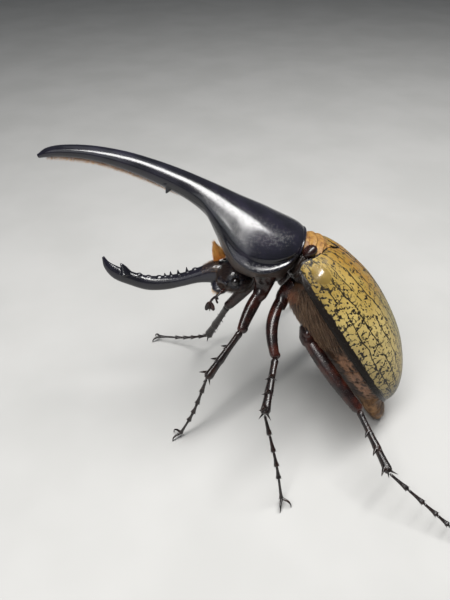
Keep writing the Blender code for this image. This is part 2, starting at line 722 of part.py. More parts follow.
def main():
    clear_scene()
    bpy.context.scene.collection.children.link(PARTS)
    mats = {
        "shell": material("black_shell", (0.012, 0.012, 0.018), 0.22),
        "elytra": material("olive_wing_case", (0.36, 0.31, 0.12), 0.35),
        "belly": material("brown_belly", (0.06, 0.028, 0.015), 0.45),
        "limb": material("red_brown_limb", (0.05, 0.015, 0.01), 0.28),
        "claw": material("dark_claw", (0.015, 0.011, 0.01), 0.25),
        "skin": material("neck_skin", (0.5, 0.24, 0.06), 0.5),
        "eye": material("eye", (0.01, 0.009, 0.008), 0.1),
    }
    floor = frame_empty("beetle", Vector(), Euler(), None)
    hind = frame_empty("hind_body", HIND_AT, HIND_TURN, floor)
    fore = frame_empty("fore_body", FORE_AT, FORE_TURN, floor)

    elytron("elytron_left", -1, mats["elytra"], hind)
    elytron("elytron_right", 1, mats["elytra"], hind)
    thorax = pterothorax(mats["belly"], hind)
    tail = abdomen(mats["belly"], hind)
    trim_floor(tail, HIND)
    scutellum(mats["shell"], hind)
    neck(mats["skin"], floor)

    shield = pronotum(mats["shell"], fore)
    thoracic_horn(mats["shell"], fore)
    head_horn(mats["shell"], fore)
    upright = Matrix.Identity(3)
    head = ball("head", HEAD_AT, HEAD_RADII, upright, mats["shell"], fore, 20, 12)
    grown = HEAD_RADII + Vector((GAP + 0.2,) * 3)
    socket = ball("socket", HEAD_AT, grown, upright, mats["shell"], fore, 20, 12)
    combine(shield, [socket], "DIFFERENCE")
    cut_flat(head, Vector((HEAD_FACE, 0, 0)), Vector((1, 0, 0)))
    for side, side_name in ((-1, "left"), (1, "right")):
        centre = HEAD_AT + Vector((0.4, side * (HEAD_RADII.y - 0.6), 0.8))
        ball(f"eye_{side_name}", centre, Vector((EYE_RADIUS,) * 3), upright, mats["eye"], fore, 14, 9)
        hollow = ball("hollow", centre, Vector((EYE_RADIUS + GAP,) * 3), upright, mats["eye"], fore, 14, 9)
        combine(head, [hollow], "DIFFERENCE")
        antenna(f"antenna_{side_name}", side, mats["limb"], fore)
    mouthparts(mats["limb"], fore)
    grown = MOUTH_RADII + Vector((GAP + 0.1,) * 3)
    hollow = ball("hollow", MOUTH_AT, grown, upright, mats["limb"], fore, 16, 10)
    combine(head, [hollow], "DIFFERENCE")
    brow(head, mats["shell"], fore)

    for side, side_name in ((-1, "left"), (1, "right")):
        spots = {
            "front": (FORE, Vector((-12.5, side * 6.3, -14.5)), Vector((2.7, 3.8, 2.9)), shield, fore),
            "mid": (HIND, Vector((7.0, side * 5.8, -26.6)), Vector((2.5, 3.0, 2.6)), thorax, hind),
            "hind": (HIND, Vector((21.5, side * 8.4, -27.8)), Vector((3.0, 5.2, 2.9)), thorax, hind),
        }
        for pair, (frame, local, radii, carrier, parent) in spots.items():
            turn = frame.to_3x3()
            leg(pair, side_name, frame @ local, radii, turn, mats, floor, (thorax, tail))
            grown = radii + Vector((GAP + 0.1,) * 3)
            hollow = ball("hollow", local, grown, Matrix.Identity(3), mats["limb"], parent, 12, 9)
            combine(carrier, [hollow], "DIFFERENCE")

    centre_on_floor(floor)


main()
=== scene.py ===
"""Looks for the adult male hercules beetle: shells, horns, legs, hair and their finishes.

Shapes are worked out in millimetres in three frames: FLOOR, level with the ground, FORE for the
shield, head and horns, and HIND for the wing cases and the abdomen. They are placed in metres.
"""
from math import copysign, cos, exp, pi, radians, sin, sqrt, tau

import bmesh
import bpy
from mathutils import Euler, Matrix, Vector


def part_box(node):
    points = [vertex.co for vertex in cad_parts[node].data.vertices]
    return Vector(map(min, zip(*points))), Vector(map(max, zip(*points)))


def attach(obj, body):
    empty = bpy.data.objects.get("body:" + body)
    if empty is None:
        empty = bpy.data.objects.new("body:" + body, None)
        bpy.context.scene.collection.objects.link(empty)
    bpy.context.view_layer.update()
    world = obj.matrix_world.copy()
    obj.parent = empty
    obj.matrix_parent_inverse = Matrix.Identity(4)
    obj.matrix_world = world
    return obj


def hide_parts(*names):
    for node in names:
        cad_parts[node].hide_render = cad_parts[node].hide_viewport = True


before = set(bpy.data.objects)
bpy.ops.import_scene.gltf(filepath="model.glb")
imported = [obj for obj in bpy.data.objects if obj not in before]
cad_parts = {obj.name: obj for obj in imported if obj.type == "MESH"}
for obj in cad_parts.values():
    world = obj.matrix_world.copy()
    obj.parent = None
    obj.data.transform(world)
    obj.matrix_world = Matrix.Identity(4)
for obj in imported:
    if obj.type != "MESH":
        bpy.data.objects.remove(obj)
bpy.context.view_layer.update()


def vec(x, y, z):
    return Vector((x, y, z))


MM = 0.001
BAKE_MAP = "OFBake"
SHELL_MAP = "Shell"
TUFT_PATCH = 0.003
GUIDE_MARGIN = 0.02
GUIDE_SPAN = 0.95

# The wing cases' map, in millimetres: its span, a case's width on it, where the right case starts,
# where the distance from the suture starts again, and how far apart the long black lines are.
SHELL_MAP_SPAN = 64.0
SHELL_MAP_WIDTH = 31.0
SHELL_MAP_NEXT = 33.0
SHELL_MAP_WRAP = 32.9
LINE_SPACING = 4.4

SIDE = vec(0, 1, 0)
UP = vec(0, 0, 1)
SIDES = ((-1, "left"), (1, "right"))

# Where the hind and fore frames stand over the floor, and how they are turned.
HIND_AT = vec(36.7, 14.5, 67.8)
HIND_TURN = Euler((radians(-20.5), radians(51), radians(-22)), "XYZ")
FORE_AT = vec(26.0, 13.0, 65.0)
FORE_TURN = Euler((radians(-7), 0.0, radians(-6)), "XYZ")

# Sizes and places of the parts, in those frames; a power over 2 makes an oval squarer.
ELYTRON_LENGTH = 61.5
ELYTRON_WALL = 0.9
ELYTRON_ARC = radians(97)
ELYTRON_POWER = 2.2
BELLY_POWER = 1.8
SUTURE_GAP = 0.15
BODY_INSET = 2.0
SCUTELLUM = (-0.6, 4.4)
CHEST_START = 5.0
METASTERNUM_END = 27.0
PLATE_ENDS = (METASTERNUM_END + 0.3, 33.0, 38.5, 43.5, 48.0, 52.0, 56.5)
BELLY_MARKS = ("pale", "edge", "amber")
RING_POINTS = 128
FINE_RING_POINTS = 144
HEAD_AT = vec(-22.3, 0.0, -14.6)
HEAD_RADII = vec(6.4, 6.6, 5.6)
EYE_RADIUS = 1.5
MOUTH_AT = vec(-27.2, 0.0, -20.1)

# Rows of the wing case: share of the length, half width, height of the suture, height of the margin.
ELYTRON_ROWS = (
    (-0.05, 12.6, -9.2, -15.0),
    (0.00, 14.4, -6.8, -15.2),
    (0.05, 16.6, -4.6, -15.2),
    (0.15, 19.0, -2.2, -14.9),
    (0.35, 20.8, 0.0, -14.8),
    (0.60, 20.6, -1.0, -15.2),
    (0.78, 18.0, -4.6, -16.1),
    (0.90, 13.4, -9.2, -17.1),
    (0.97, 8.0, -13.6, -17.9),
    (1.00, 3.7, -16.4, -18.3),
)

# Rows of the underside: distance from the base, lowest height.
BELLY_ROWS = (
    (0.0, -19.0),
    (6.0, -24.5),
    (14.0, -27.5),
    (27.0, -28.0),
    (40.0, -28.8),
    (50.0, -28.2),
    (57.0, -27.6),
    (62.0, -27.2),
)

# Rows of the tail plate: distance from the base, half width, top, bottom.
TAIL_ROWS = (
    (58.5, 9.2, -17.9, -27.4),
    (62.0, 8.6, -20.0, -27.4),
    (65.0, 7.4, -20.9, -27.4),
    (67.6, 5.4, -22.2, -27.0),
    (69.0, 3.2, -23.4, -26.2),
)

# Rows of the shield and its horn: station, top x and z, bottom x and z, half width, how far down
# the widest place is, and how sharp the lower flank is.
SHIELD_ROWS = (
    (0, -0.2, 2.6, -8.5, -15.5, 8.6, 0.22, 1.8),
    (1, -3.2, 4.5, -11.5, -16.2, 13.4, 0.36, 1.35),
    (2, -8.8, 6.9, -15.0, -15.8, 16.4, 0.48, 1.15),
    (3, -15.0, 9.8, -19.0, -14.4, 16.4, 0.55, 1.15),
    (4, -21.5, 12.6, -22.5, -12.0, 14.0, 0.56, 1.3),
    (5, -27.0, 15.2, -25.4, -7.0, 10.6, 0.5, 1.6),
    (6, -31.5, 17.2, -27.8, -1.0, 8.0, 0.46, 1.8),
    (7, -36.0, 19.1, -30.6, 5.5, 6.0, 0.46, 2.0),
    (8, -41.0, 21.0, -37.0, 11.0, 4.8, 0.47, 2.0),
    (9, -48.0, 23.3, -46.0, 15.5, 3.7, 0.48, 2.0),
    (10, -57.0, 25.6, -56.5, 19.7, 2.9, 0.5, 2.0),
    (11, -67.0, 26.9, -67.0, 22.4, 2.3, 0.5, 2.0),
    (12, -76.0, 26.8, -76.0, 23.1, 1.9, 0.5, 2.0),
    (13, -81.5, 25.7, -81.0, 22.8, 1.4, 0.5, 2.0),
    (14, -84.8, 23.6, -84.2, 22.4, 0.7, 0.5, 2.0),
)

# Rows of the head horn: station, top x and z, bottom x and z, half width.
HEAD_HORN_ROWS = (
    (0, -27.6, -10.0, -27.6, -18.0, 3.0),
    (1, -30.5, -10.3, -30.5, -18.0, 2.6),
    (2, -35.0, -12.8, -35.0, -18.4, 2.2),
    (3, -40.5, -15.2, -40.5, -20.2, 2.0),
    (4, -46.5, -16.7, -46.5, -22.0, 1.9),
    (5, -53.0, -17.2, -53.0, -22.6, 1.8),
    (6, -59.5, -15.6, -59.0, -21.1, 1.7),
    (7, -63.6, -14.0, -64.6, -18.9, 1.5),
    (8, -65.9, -12.6, -67.6, -15.0, 1.0),
    (9, -67.3, -10.6, -68.1, -11.0, 0.5),
)

# Small teeth and low bumps of the head horn: where along it, and how high.
HORN_TEETH = ((-46.4, 1.5), (-44.4, 1.7), (-41.8, 1.8), (-38.8, 2.2))
HORN_BUMPS = ((-55.6, 0.5), (-52.4, 0.35), (-48.6, 0.3), (-36.0, 0.4))

# Each pair's hip: the frame it is in, its place on the right side and its radii.
HIPS = {
    "front": ("fore", (-12.5, 6.3, -14.5), (2.7, 3.8, 2.9)),
    "mid": ("hind", (7.0, 5.8, -26.6), (2.5, 3.0, 2.6)),
    "hind": ("hind", (21.5, 8.4, -27.8), (3.0, 5.2, 2.9)),
}

# Knee, ankle and toe of each leg.
LEG_JOINTS = {
    "front_left": ((5.2, -4.0, 40.8), (-5.8, -13.0, 28.4), (-15.6, -14.5, 0.0)),
    "front_right": ((1.0, 22.0, 30.0), (-7.0, 30.0, 8.0), (-28.0, 36.0, 0.0)),
    "mid_left": ((16.0, -11.0, 35.6), (12.0, -28.0, 28.8), (17.8, -40.0, 0.0)),
    "mid_right": ((27.0, 38.0, 38.0), (27.0, 50.0, 22.0), (32.0, 60.0, 0.0)),
    "hind_left": ((43.0, -20.0, 21.0), (50.5, -37.0, 12.0), (71.6, -54.0, 0.0)),
    "hind_right": ((46.0, 38.0, 26.0), (58.0, 48.0, 12.0), (68.0, 54.0, 0.0)),
}
FEMUR_RADIUS = {"front": 2.3, "mid": 2.0, "hind": 2.5}
FEMUR_BOW = {"mid_left": (-2.0, 0.0, 0.4), "hind_right": (0.0, 0.0, -1.0)}
TIBIA_RADIUS = {"front": 1.65, "mid": 1.5, "hind": 1.5}
TARSUS_RADIUS = 0.72
TARSUS_BOW = vec(1.2, 0.0, 0.0)
FOOT_ENDS = (0.0, 0.2, 0.37, 0.53, 0.69, 1.0)
HEEL_HEIGHT = 2.0
CLAW_HEIGHT = 0.03
SHIN_TEETH = ((0.35, 1.6), (0.62, 2.0), (0.9, 2.6))
CAMERA_AT = vec(0.0, -134.0, 157.0)
CAMERA_TILT = 38.5
FLOOR_REACH = 3.0

# Rows of a tooth and of a leg's parts: share of the length, thickness.
TOOTH_ROWS = ((0.0, 1.25), (0.15, 0.98), (0.35, 0.74), (0.6, 0.5), (0.82, 0.3), (0.95, 0.16), (1.0, 0.05))
THIGH_ROWS = ((0.0, 0.8), (0.06, 0.86), (0.2, 0.95), (0.42, 1.02), (0.65, 0.95), (0.85, 0.84),
              (0.95, 0.76), (0.99, 0.6), (1.0, 0.4))
SHIN_ROWS = ((0.0, 0.45), (0.05, 0.82), (0.12, 0.76), (0.3, 0.76), (0.5, 0.84), (0.62, 0.96), (0.68, 0.85),
             (0.85, 0.95), (0.95, 1.04), (1.0, 0.75))
FOOT_ROWS = ((0.0, 0.3), (0.05, 0.55), (0.3, 0.6), (0.7, 0.85), (0.92, 1.12), (1.0, 0.7))
LAST_FOOT_ROWS = ((0.0, 0.3), (0.05, 0.5), (0.4, 0.55), (0.8, 0.72), (0.95, 0.95), (1.0, 0.6))


def frame_matrix(place, turn):
    return Matrix.Translation(place) @ turn.to_matrix().to_4x4()


def eye_spot(side):
    return HEAD_AT + vec(0.4, side * (HEAD_RADII.y - 0.6), 0.8)


def floor_shift():
    """Where the solids put the frames' common origin, read from the place of the two eyes."""
    fore = frame_matrix(FORE_AT, FORE_TURN)
    shift = Vector()
    for side, name in SIDES:
        low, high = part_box(f"eye_{name}")
        shift += ((low + high) / (2 * MM) - fore @ eye_spot(side)) / 2
    return vec(shift.x, shift.y, 0.0)


FLOOR = Matrix.Translation(floor_shift())
HIND = FLOOR @ frame_matrix(HIND_AT, HIND_TURN)
FORE = FLOOR @ frame_matrix(FORE_AT, FORE_TURN)
WORLD = Matrix.Identity(4)


# Reading tables and drawing curves.
def sample(rows, key):
    """Read a table whose rows start with a rising key, on a smooth curve through the rows."""
    last = len(rows) - 1
    key = min(max(key, rows[0][0]), rows[last][0])
    i = max(k for k in range(last) if rows[k][0] <= key)
    span = rows[i + 1][0] - rows[i][0]
    t = (key - rows[i][0]) / span

    def slope(k, column):
        low, high = rows[max(k - 1, 0)], rows[min(k + 1, last)]
        return (high[column] - low[column]) / (high[0] - low[0]) * span

    values = []
    for column in range(1, len(rows[0])):
        a, b = rows[i][column], rows[i + 1][column]
        da, db = slope(i, column), slope(i + 1, column)
        values.append((2 * t**3 - 3 * t**2 + 1) * a + (t**3 - 2 * t**2 + t) * da
                      + (3 * t**2 - 2 * t**3) * b + (t**3 - t**2) * db)
    return values


def section(rows, station):
    """The top and bottom points of a horn's cross-section, then the row's other values."""
    top_x, top_z, low_x, low_z, *rest = sample(rows, station)
    return vec(top_x, 0, top_z), vec(low_x, 0, low_z), *rest


def spread(start, end, count):
    return [start + (end - start) * k / (count - 1) for k in range(count)]


def turns(count):
    """Angles evenly round a full turn."""
    return [tau * k / count for k in range(count)]


def bulge(value, power):
    return copysign(abs(value) ** (2 / power), value)


def hump(value, middle, width):
    """A smooth bump of height 1 round the middle."""
    return exp(-((value - middle) / width) ** 2)


def step(value, start, end):
    """A smooth rise from 0 to 1."""
    t = min(max((value - start) / (end - start), 0.0), 1.0)
    return t * t * (3 - 2 * t)


def oval_point(centre, side, up, half, rise, drop, angle, power=2.0, power_low=2.0):
    """A point of an oval; angle 0 is its top, and a power under 2 gives that half a sharper edge."""
    high = cos(angle)
    bend = power if high >= 0 else power_low
    reach = rise if high >= 0 else drop
    return centre + side * (bulge(sin(angle), bend) * half) + up * (bulge(high, bend) * reach)


def curve_points(knots, count):
    rows = [(k, *knot) for k, knot in enumerate(knots)]
    return [Vector(sample(rows, t)) for t in spread(0, len(knots) - 1, count)]


# Closed shapes as points and faces.
def loft(rings):
    """A closed shape over rings of equal counts, with a fan at each end."""
    count = len(rings[0])
    points = [point for ring in rings for point in ring]
    faces = []
    for i in range(len(rings) - 1):
        for j in range(count):
            k = (j + 1) % count
            faces.append((i * count + j, i * count + k, (i + 1) * count + k, (i + 1) * count + j))
    for ring_index, flip in ((0, True), (len(rings) - 1, False)):
        middle = len(points)
        points.append(sum(rings[ring_index], Vector()) / count)
        start = ring_index * count
        for j in range(count):
            k = (j + 1) % count
            faces.append((start + k, start + j, middle) if flip else (start + j, start + k, middle))
    return points, faces


def tube(path, radii, count, side, flat=1.0):
    rings = []
    last = len(path) - 1
    for i, point in enumerate(path):
        along = (path[min(i + 1, last)] - path[max(i - 1, 0)]).normalized()
        across = (side - along * side.dot(along)).normalized()
        other = along.cross(across)
        half, reach = radii[i], radii[i] * flat
        rings.append([oval_point(point, across, other, half, reach, reach, angle) for angle in turns(count)])
    return loft(rings)


def cone(root, tip, radius, count, bend=Vector()):
    """A tooth with a flared foot, bent on its way to a blunt tip."""
    path = [root.lerp(tip, t) + bend * (4 * t * (1 - t)) for t, _ in TOOTH_ROWS]
    radii = [radius * width for _, width in TOOTH_ROWS]
    return tube(path, radii, count, (tip - root).orthogonal().normalized())


def ball_point(radii, polar, angle):
    flat = sin(polar)
    return vec(radii.x * flat * cos(angle), radii.y * flat * sin(angle), radii.z * cos(polar))


def ball(centre, radii, turn=Matrix.Identity(3), count=28, rings=18):
    return loft([[centre + turn @ ball_point(radii, pi * i / rings, angle) for angle in turns(count)]
                 for i in range(1, rings)])


def limb(start, end, rows, radius, count, sway=Vector()):
    """The path and the radii of a limb that is swayed off its straight line."""
    path = [start.lerp(end, t) + sway * sin(pi * t) for t in spread(0.0, 1.0, count)]
    return path, [radius * sample(rows, t)[0] for t in spread(0.0, 1.0, count)]


def skin(stations, count, form):
    """Rings of points and each point's marks: form(station, angle) gives a point and its marks."""
    rings, marks = [], []
    for station in stations:
        pairs = [form(station, angle) for angle in turns(count)]
        rings.append([point for point, _ in pairs])
        marks += [mark for _, mark in pairs]
    return rings, marks


def joined(shapes):
    points, faces = [], []
    for shape_points, shape_faces in shapes:
        start = len(points)
        points += list(shape_points)
        faces += [tuple(start + index for index in face) for face in shape_faces]
    return points, faces


# Objects.
def add_object(name, data):
    obj = bpy.data.objects.new(name, data)
    bpy.context.scene.collection.objects.link(obj)
    return obj


def edit(mesh, change):
    """Change a mesh through its editable form."""
    form = bmesh.new()
    form.from_mesh(mesh)
    change(form)
    form.to_mesh(mesh)
    form.free()


def new_mesh(name, points, faces):
    """A mesh with its faces turned outward."""
    mesh = bpy.data.meshes.new(name)
    mesh.from_pydata(points, [], faces)
    edit(mesh, lambda form: bmesh.ops.recalc_face_normals(form, faces=form.faces))
    return mesh


def build(name, shape, place, mat):
    """An object in metres from points in millimetres in a body's frame."""
    points, faces = shape
    mesh = new_mesh(name, [(place @ point) * MM for point in points], faces)
    mesh.shade_smooth()
    mesh.materials.append(mat)
    return add_object(name, mesh)


def sheet(name, points, columns, map_name, on_map, flip=False):
    """An open sheet over rows of points, with a map on which on_map(row, column) places each point."""
    starts = [a for a in range(len(points) - columns) if (a + 1) % columns]
    faces = [(a, a + 1, a + columns + 1, a + columns)[::-1 if flip else 1] for a in starts]
    mesh = bpy.data.meshes.new(name)
    mesh.from_pydata([point * MM for point in points], [], faces)
    unwrap = mesh.uv_layers.new(name=map_name)
    for loop in mesh.loops:
        unwrap.data[loop.index].uv = on_map(*divmod(loop.vertex_index, columns))
    return add_object(name, mesh)


def keep_values(obj, label, values):
    """Write one number to each point of a mesh; points past the list keep 0."""
    layer = obj.data.attributes.new(label, "FLOAT", "POINT")
    for index, value in enumerate(values):
        layer.data[index].value = value


def marked(name, shape, place, mat, labels, marks):
    """A piece whose finish reads numbers that its points keep."""
    piece = build(name, shape, place, mat)
    for label, values in zip(labels, zip(*marks)):
        keep_values(piece, label, values)
    return piece


def bake(obj):
    """Turn an object's modifiers into plain mesh."""
    graph = bpy.context.evaluated_depsgraph_get()
    mesh = bpy.data.meshes.new_from_object(obj.evaluated_get(graph))
    obj.modifiers.clear()
    obj.data = mesh


def fused(name, shapes, place, mat, grain, rounds):
    """Overlapping closed shapes fused into one skin with soft joins; grain is in millimetres."""
    obj = add_object(name, new_mesh(name, *joined(shapes)))
    remesh = obj.modifiers.new("fuse", "REMESH")
    remesh.mode = "VOXEL"
    remesh.voxel_size = grain
    smooth = obj.modifiers.new("soften", "SMOOTH")
    smooth.factor = 0.5
    smooth.iterations = rounds
    bake(obj)
    obj.data.transform(Matrix.Scale(MM, 4) @ place)
    obj.data.shade_smooth()
    obj.data.materials.clear()
    obj.data.materials.append(mat)
    return obj


def dress(piece, nodes):
    """Say what a finished piece rides on and stands for."""
    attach(piece, "root")
    if nodes:
        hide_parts(*nodes)


# Node trees.
def arithmetic(operation, flipped=False):
    """A way for signals to take part in plain arithmetic."""
    return lambda a, b: maths(operation, b, a) if flipped else maths(operation, a, b)


class Signal:
    """A node's output; arithmetic on it adds nodes to the same tree."""
    __add__ = arithmetic("ADD")
    __sub__ = arithmetic("SUBTRACT")
    __rsub__ = arithmetic("SUBTRACT", True)
    __mul__ = arithmetic("MULTIPLY")
    __truediv__ = arithmetic("DIVIDE")
    __rtruediv__ = arithmetic("DIVIDE", True)

    def __init__(self, tree, socket):
        self.tree = tree
        self.socket = socket

    def moved(self, way):
        """A place moved by a vector."""
        return add_node(self.tree, "ShaderNodeVectorMath", {0: self, 1: way}, operation="ADD")()

    def scaled(self, size):
        """A vector made longer or shorter."""
        return add_node(self.tree, "ShaderNodeVectorMath", {0: self, "Scale": size}, operation="SCALE")()

    def part(self, axis):
        return add_node(self.tree, "ShaderNodeSeparateXYZ", {"Vector": self})(axis)

    def laid(self, scale, shift=(0.0, 0.0, 0.0)):
        """A place on a map that is stretched and shifted."""
        return add_node(self.tree, "ShaderNodeMapping", {"Vector": self, "Location": shift, "Scale": scale})()

    def noise(self, scale, detail=3.0, rough=0.5, output="Fac"):
        return add_node(self.tree, "ShaderNodeTexNoise", {"Vector": self, "Scale": scale, "Detail": detail,
                                                          "Roughness": rough})(output)

    def cells(self, scale, **settings):
        return add_node(self.tree, "ShaderNodeTexVoronoi", {"Vector": self, "Scale": scale}, **settings)

    def mask(self, low, high):
        """1 where the value is past high, 0 below low, and the other way round if low is above high."""
        start, end = (0.0, 1.0) if low < high else (1.0, 0.0)
        span = {"Value": self, "From Min": min(low, high), "From Max": max(low, high), "To Min": start,
                "To Max": end}
        return add_node(self.tree, "ShaderNodeMapRange", span, interpolation_type="SMOOTHSTEP")("Result")

    def mix(self, a, b):
        """Colour a where the value is 0 and colour b where it is 1."""
        a, b = (value if isinstance(value, Signal) else (*value, 1.0) for value in (a, b))
        return add_node(self.tree, "ShaderNodeMix", {0: self, 6: a, 7: b}, data_type="RGBA")(2)


def plug(tree, socket, value):
    if isinstance(value, Signal):
        tree.links.new(value.socket, socket)
    else:
        socket.default_value = value


def add_node(tree, kind, values=None, **settings):
    """A node with its settings and inputs; a call of what comes back gives one of its outputs."""
    node = tree.nodes.new(kind)
    for key, value in settings.items():
        setattr(node, key, value)
    for key, value in (values or {}).items():
        plug(tree, node.inputs[key], value)
    return lambda key=0: Signal(tree, node.outputs[key])


def add_sockets(tree, way, kind, *labels):
    for label in labels:
        tree.interface.new_socket(label, in_out=way, socket_type=kind)


def maths(operation, a, b=0.0, clamp=False):
    tree = a.tree if isinstance(a, Signal) else b.tree
    return add_node(tree, "ShaderNodeMath", {0: a, 1: b}, operation=operation, use_clamp=clamp)()


def object_place(tree):
    """Where a point is, in millimetres."""
    return add_node(tree, "ShaderNodeTexCoord")("Object").scaled(1 / MM)


def cuticle_grain():
    """Fine unevenness, small pits and dull patches that every hard part shares."""
    tree = bpy.data.node_groups.new("cuticle_grain", "ShaderNodeTree")
    add_sockets(tree, "INPUT", "NodeSocketFloat", "Pit Size", "Pits", "Polish", "Dullness")
    add_sockets(tree, "OUTPUT", "NodeSocketFloat", "Roughness", "Height")
    given = add_node(tree, "NodeGroupInput")
    place = object_place(tree)
    depth = place.cells(1.0 / given("Pit Size"))("Distance").mask(0.42, 0.12) * given("Pits")
    dull = place.noise(0.35, 5.0, 0.6) * given("Dullness")
    add_node(tree, "NodeGroupOutput", {"Roughness": dull + given("Polish") + depth * 0.15,
                                       "Height": place.noise(1.6, 4.0) * 0.35 - depth})
    return tree


GRAIN = cuticle_grain()


class Finish:
    """A material in the making."""

    def __init__(self, name):
        self.material = bpy.data.materials.new(name)
        self.material.use_nodes = True
        self.tree = self.material.node_tree
        self.shader = self.tree.nodes["Principled BSDF"]

    def place(self):
        return object_place(self.tree)

    def attribute(self, name):
        return add_node(self.tree, "ShaderNodeAttribute", attribute_name=name)("Fac")

    def set(self, label, value):
        plug(self.tree, self.shader.inputs[label], value)

    def bump(self, strength, depth, height):
        """Relief whose depth is in millimetres."""
        values = {"Strength": strength, "Distance": depth * MM, "Height": height}
        self.set("Normal", add_node(self.tree, "ShaderNodeBump", values)())

    def grain(self, pit_size, pits, polish, dullness, depth, extra=None):
        """Roughness and relief from the shared grain, with any further height added."""
        values = {"Pit Size": pit_size, "Pits": pits, "Polish": polish, "Dullness": dullness}
        grain = add_node(self.tree, "ShaderNodeGroup", values, node_tree=GRAIN)
        height = grain("Height") if extra is None else grain("Height") + extra
        self.bump(1.0, depth, height)
        self.set("Roughness", grain("Roughness"))


def clouded_finish(name, scale, span, dark, light, *grain):
    """Shell in two shades that run into each other like clouds."""
    finish = Finish(name)
    finish.set("Base Color", finish.place().noise(scale, 4.0).mask(*span).mix(dark, light))
    finish.grain(*grain)
    return finish.material


def black_cuticle():
    """Polished black shell with fine pits and a faint blue-violet tint of painted sheen, and matt brown skin
    where the shell turns under.
    """
    finish = Finish("black_cuticle")
    place = finish.place()
    under = finish.attribute("under")
    # the near-black has a faint blue-violet tint: a painted sheen of the sky's reflection
    black = place.noise(0.12, 4.0).mask(0.35, 0.7).mix((0.006, 0.006, 0.009), (0.012, 0.011, 0.019))
    brown = place.noise(0.5, 5.0, 0.6).mask(0.35, 0.65).mix((0.012, 0.007, 0.005), (0.05, 0.026, 0.015))
    finish.set("Base Color", under.mix(black, brown))
    finish.set("Specular IOR Level", 0.6)
    finish.grain(0.42, finish.attribute("pitted") + 0.05, under * 0.35 + 0.1, 0.12, 0.04)
    return finish.material


def belly_cuticle():
    """Brown underside: pale skin where the plates end, a dark edge beside the wing cases that is partly dark
    cuticle and partly painted shade under their rim, and an amber tail.
    """
    finish = Finish("belly_cuticle")
    place = finish.place()
    edge = finish.attribute("edge")
    brown = place.noise(0.16, 5.0, 0.6).mask(0.38, 0.66).mix((0.01, 0.005, 0.003), (0.04, 0.02, 0.01))
    pale = finish.attribute("pale") * place.noise(0.4, 4.0, 0.6).mask(0.4, 0.56)
    color = pale.mix(brown, (0.27, 0.145, 0.085))
    tail = place.noise(0.45, 5.0, 0.65).mask(0.36, 0.62).mix((0.07, 0.03, 0.012), (0.26, 0.14, 0.06))
    color = finish.attribute("amber").mix(color, tail)
    # the edge is near-black: partly dark cuticle, partly painted shade under the wing cases' rim
    finish.set("Base Color", edge.mix(color, (0.008, 0.005, 0.003)))
    finish.set("Specular IOR Level", 0.3)
    finish.grain(0.45, 0.7, 0.36 - edge * 0.18, 0.2, 0.06)
    return finish.material


def neck_skin():
    """Orange-tan creased skin that turns dark and glossy on its flanks."""
    finish = Finish("neck_skin")
    folds = finish.place().noise(0.7, 5.0, 0.6)
    flank = finish.attribute("flank")
    creased = folds.mask(0.3, 0.62).mix((0.13, 0.048, 0.008), (0.29, 0.155, 0.036))
    finish.set("Base Color", flank.mix(creased, (0.014, 0.009, 0.007)))
    finish.grain(0.8, 0.3, 0.4 - flank * 0.22, 0.2, 0.15, folds * 1.5)
    return finish.material


def eye_finish():
    finish = Finish("eye_finish")
    finish.set("Base Color", (0.006, 0.004, 0.004, 1.0))
    finish.bump(0.5, 0.03, finish.place().cells(9.0)("Distance"))
    finish.set("Roughness", 0.12)
    finish.set("Coat Weight", 0.6)
    return finish.material


def bristle_finish(name, root, tip, roughness=0.5):
    """Hair whose colour runs from its root to its tip."""
    finish = Finish(name)
    uneven = (finish.place().noise(1.6, 2.0) - 0.5) * 0.7
    share = maths("ADD", finish.attribute("tip"), uneven, clamp=True)
    finish.set("Base Color", share.mix(root, tip))
    finish.set("Roughness", roughness)
    return finish.material


def crack_net(place, size, shift, width, waver):
    """The edges of a net of cells as uneven strokes: size is the cells' size in millimetres."""
    net = place.laid((1 / size[0], 1 / size[1], 1.0), shift)
    edges = net.cells(1.0, feature="DISTANCE_TO_EDGE", voronoi_dimensions="2D")("Distance")
    return (edges - place.noise(0.9, 2.0) * waver).mask(width, width * 0.2)


def wing_case_marks(flat, bent, across, along):
    """Where a wing case is black: lines along it, cracks, edge strokes, dots, dashes and wrinkles."""
    # Long lines from the shoulder to the tip.
    sway = (flat.noise(0.09, 3.0) - 0.5) * 5.0
    off = maths("ABSOLUTE", maths("FRACT", (across + sway) / LINE_SPACING) - 0.5)
    lines = (off - flat.noise(0.5, 2.0) * 0.05).mask(0.04, 0.012)
    lines = lines * flat.noise(0.16, 3.0, 0.6).mask(0.38, 0.43)

    # Cracks in the middle, and strokes that reach in from the outer edge.
    cracks = crack_net(bent, (2.1, 3.6), (0.0, 0.0, 0.0), 0.04, 0.09)
    cracks = cracks * flat.noise(0.5, 2.0, 0.6).mask(0.51, 0.55)
    gate = across.mask(15.0, 20.0) * flat.noise(0.42, 2.0).mask(0.45, 0.5)
    strokes = crack_net(bent, (5.4, 2.0), (7.3, 2.1, 0.0), 0.05, 0.12) * gate

    # Dots of uneven size.
    spots = flat.cells(0.62, voronoi_dimensions="2D")
    drawn = spots("Color").part("X")
    dots = (spots("Distance") - drawn.mask(0.4, 1.0) * 0.24).mask(0.03, -0.02) * drawn.mask(0.46, 0.48)

    # Short dashes near the suture.
    long_cells = bent.laid((0.8, 0.36, 1.0)).cells(1.0, voronoi_dimensions="2D")
    few = long_cells("Color").part("Y").mask(0.4, 0.42)
    dashes = long_cells("Distance").mask(0.2, 0.14) * (few * across.mask(22.0, 16.0))

    # Close wrinkles towards the tip.
    wrinkles = crack_net(bent, (2.6, 0.75), (1.3, 5.7, 0.0), 0.1, 0.16) * (along.mask(45.0, 57.0) * 0.75)

    marks = lines
    for more in (cracks, strokes, dots, dashes, wrinkles):
        marks = maths("MAXIMUM", marks, more)
    return marks


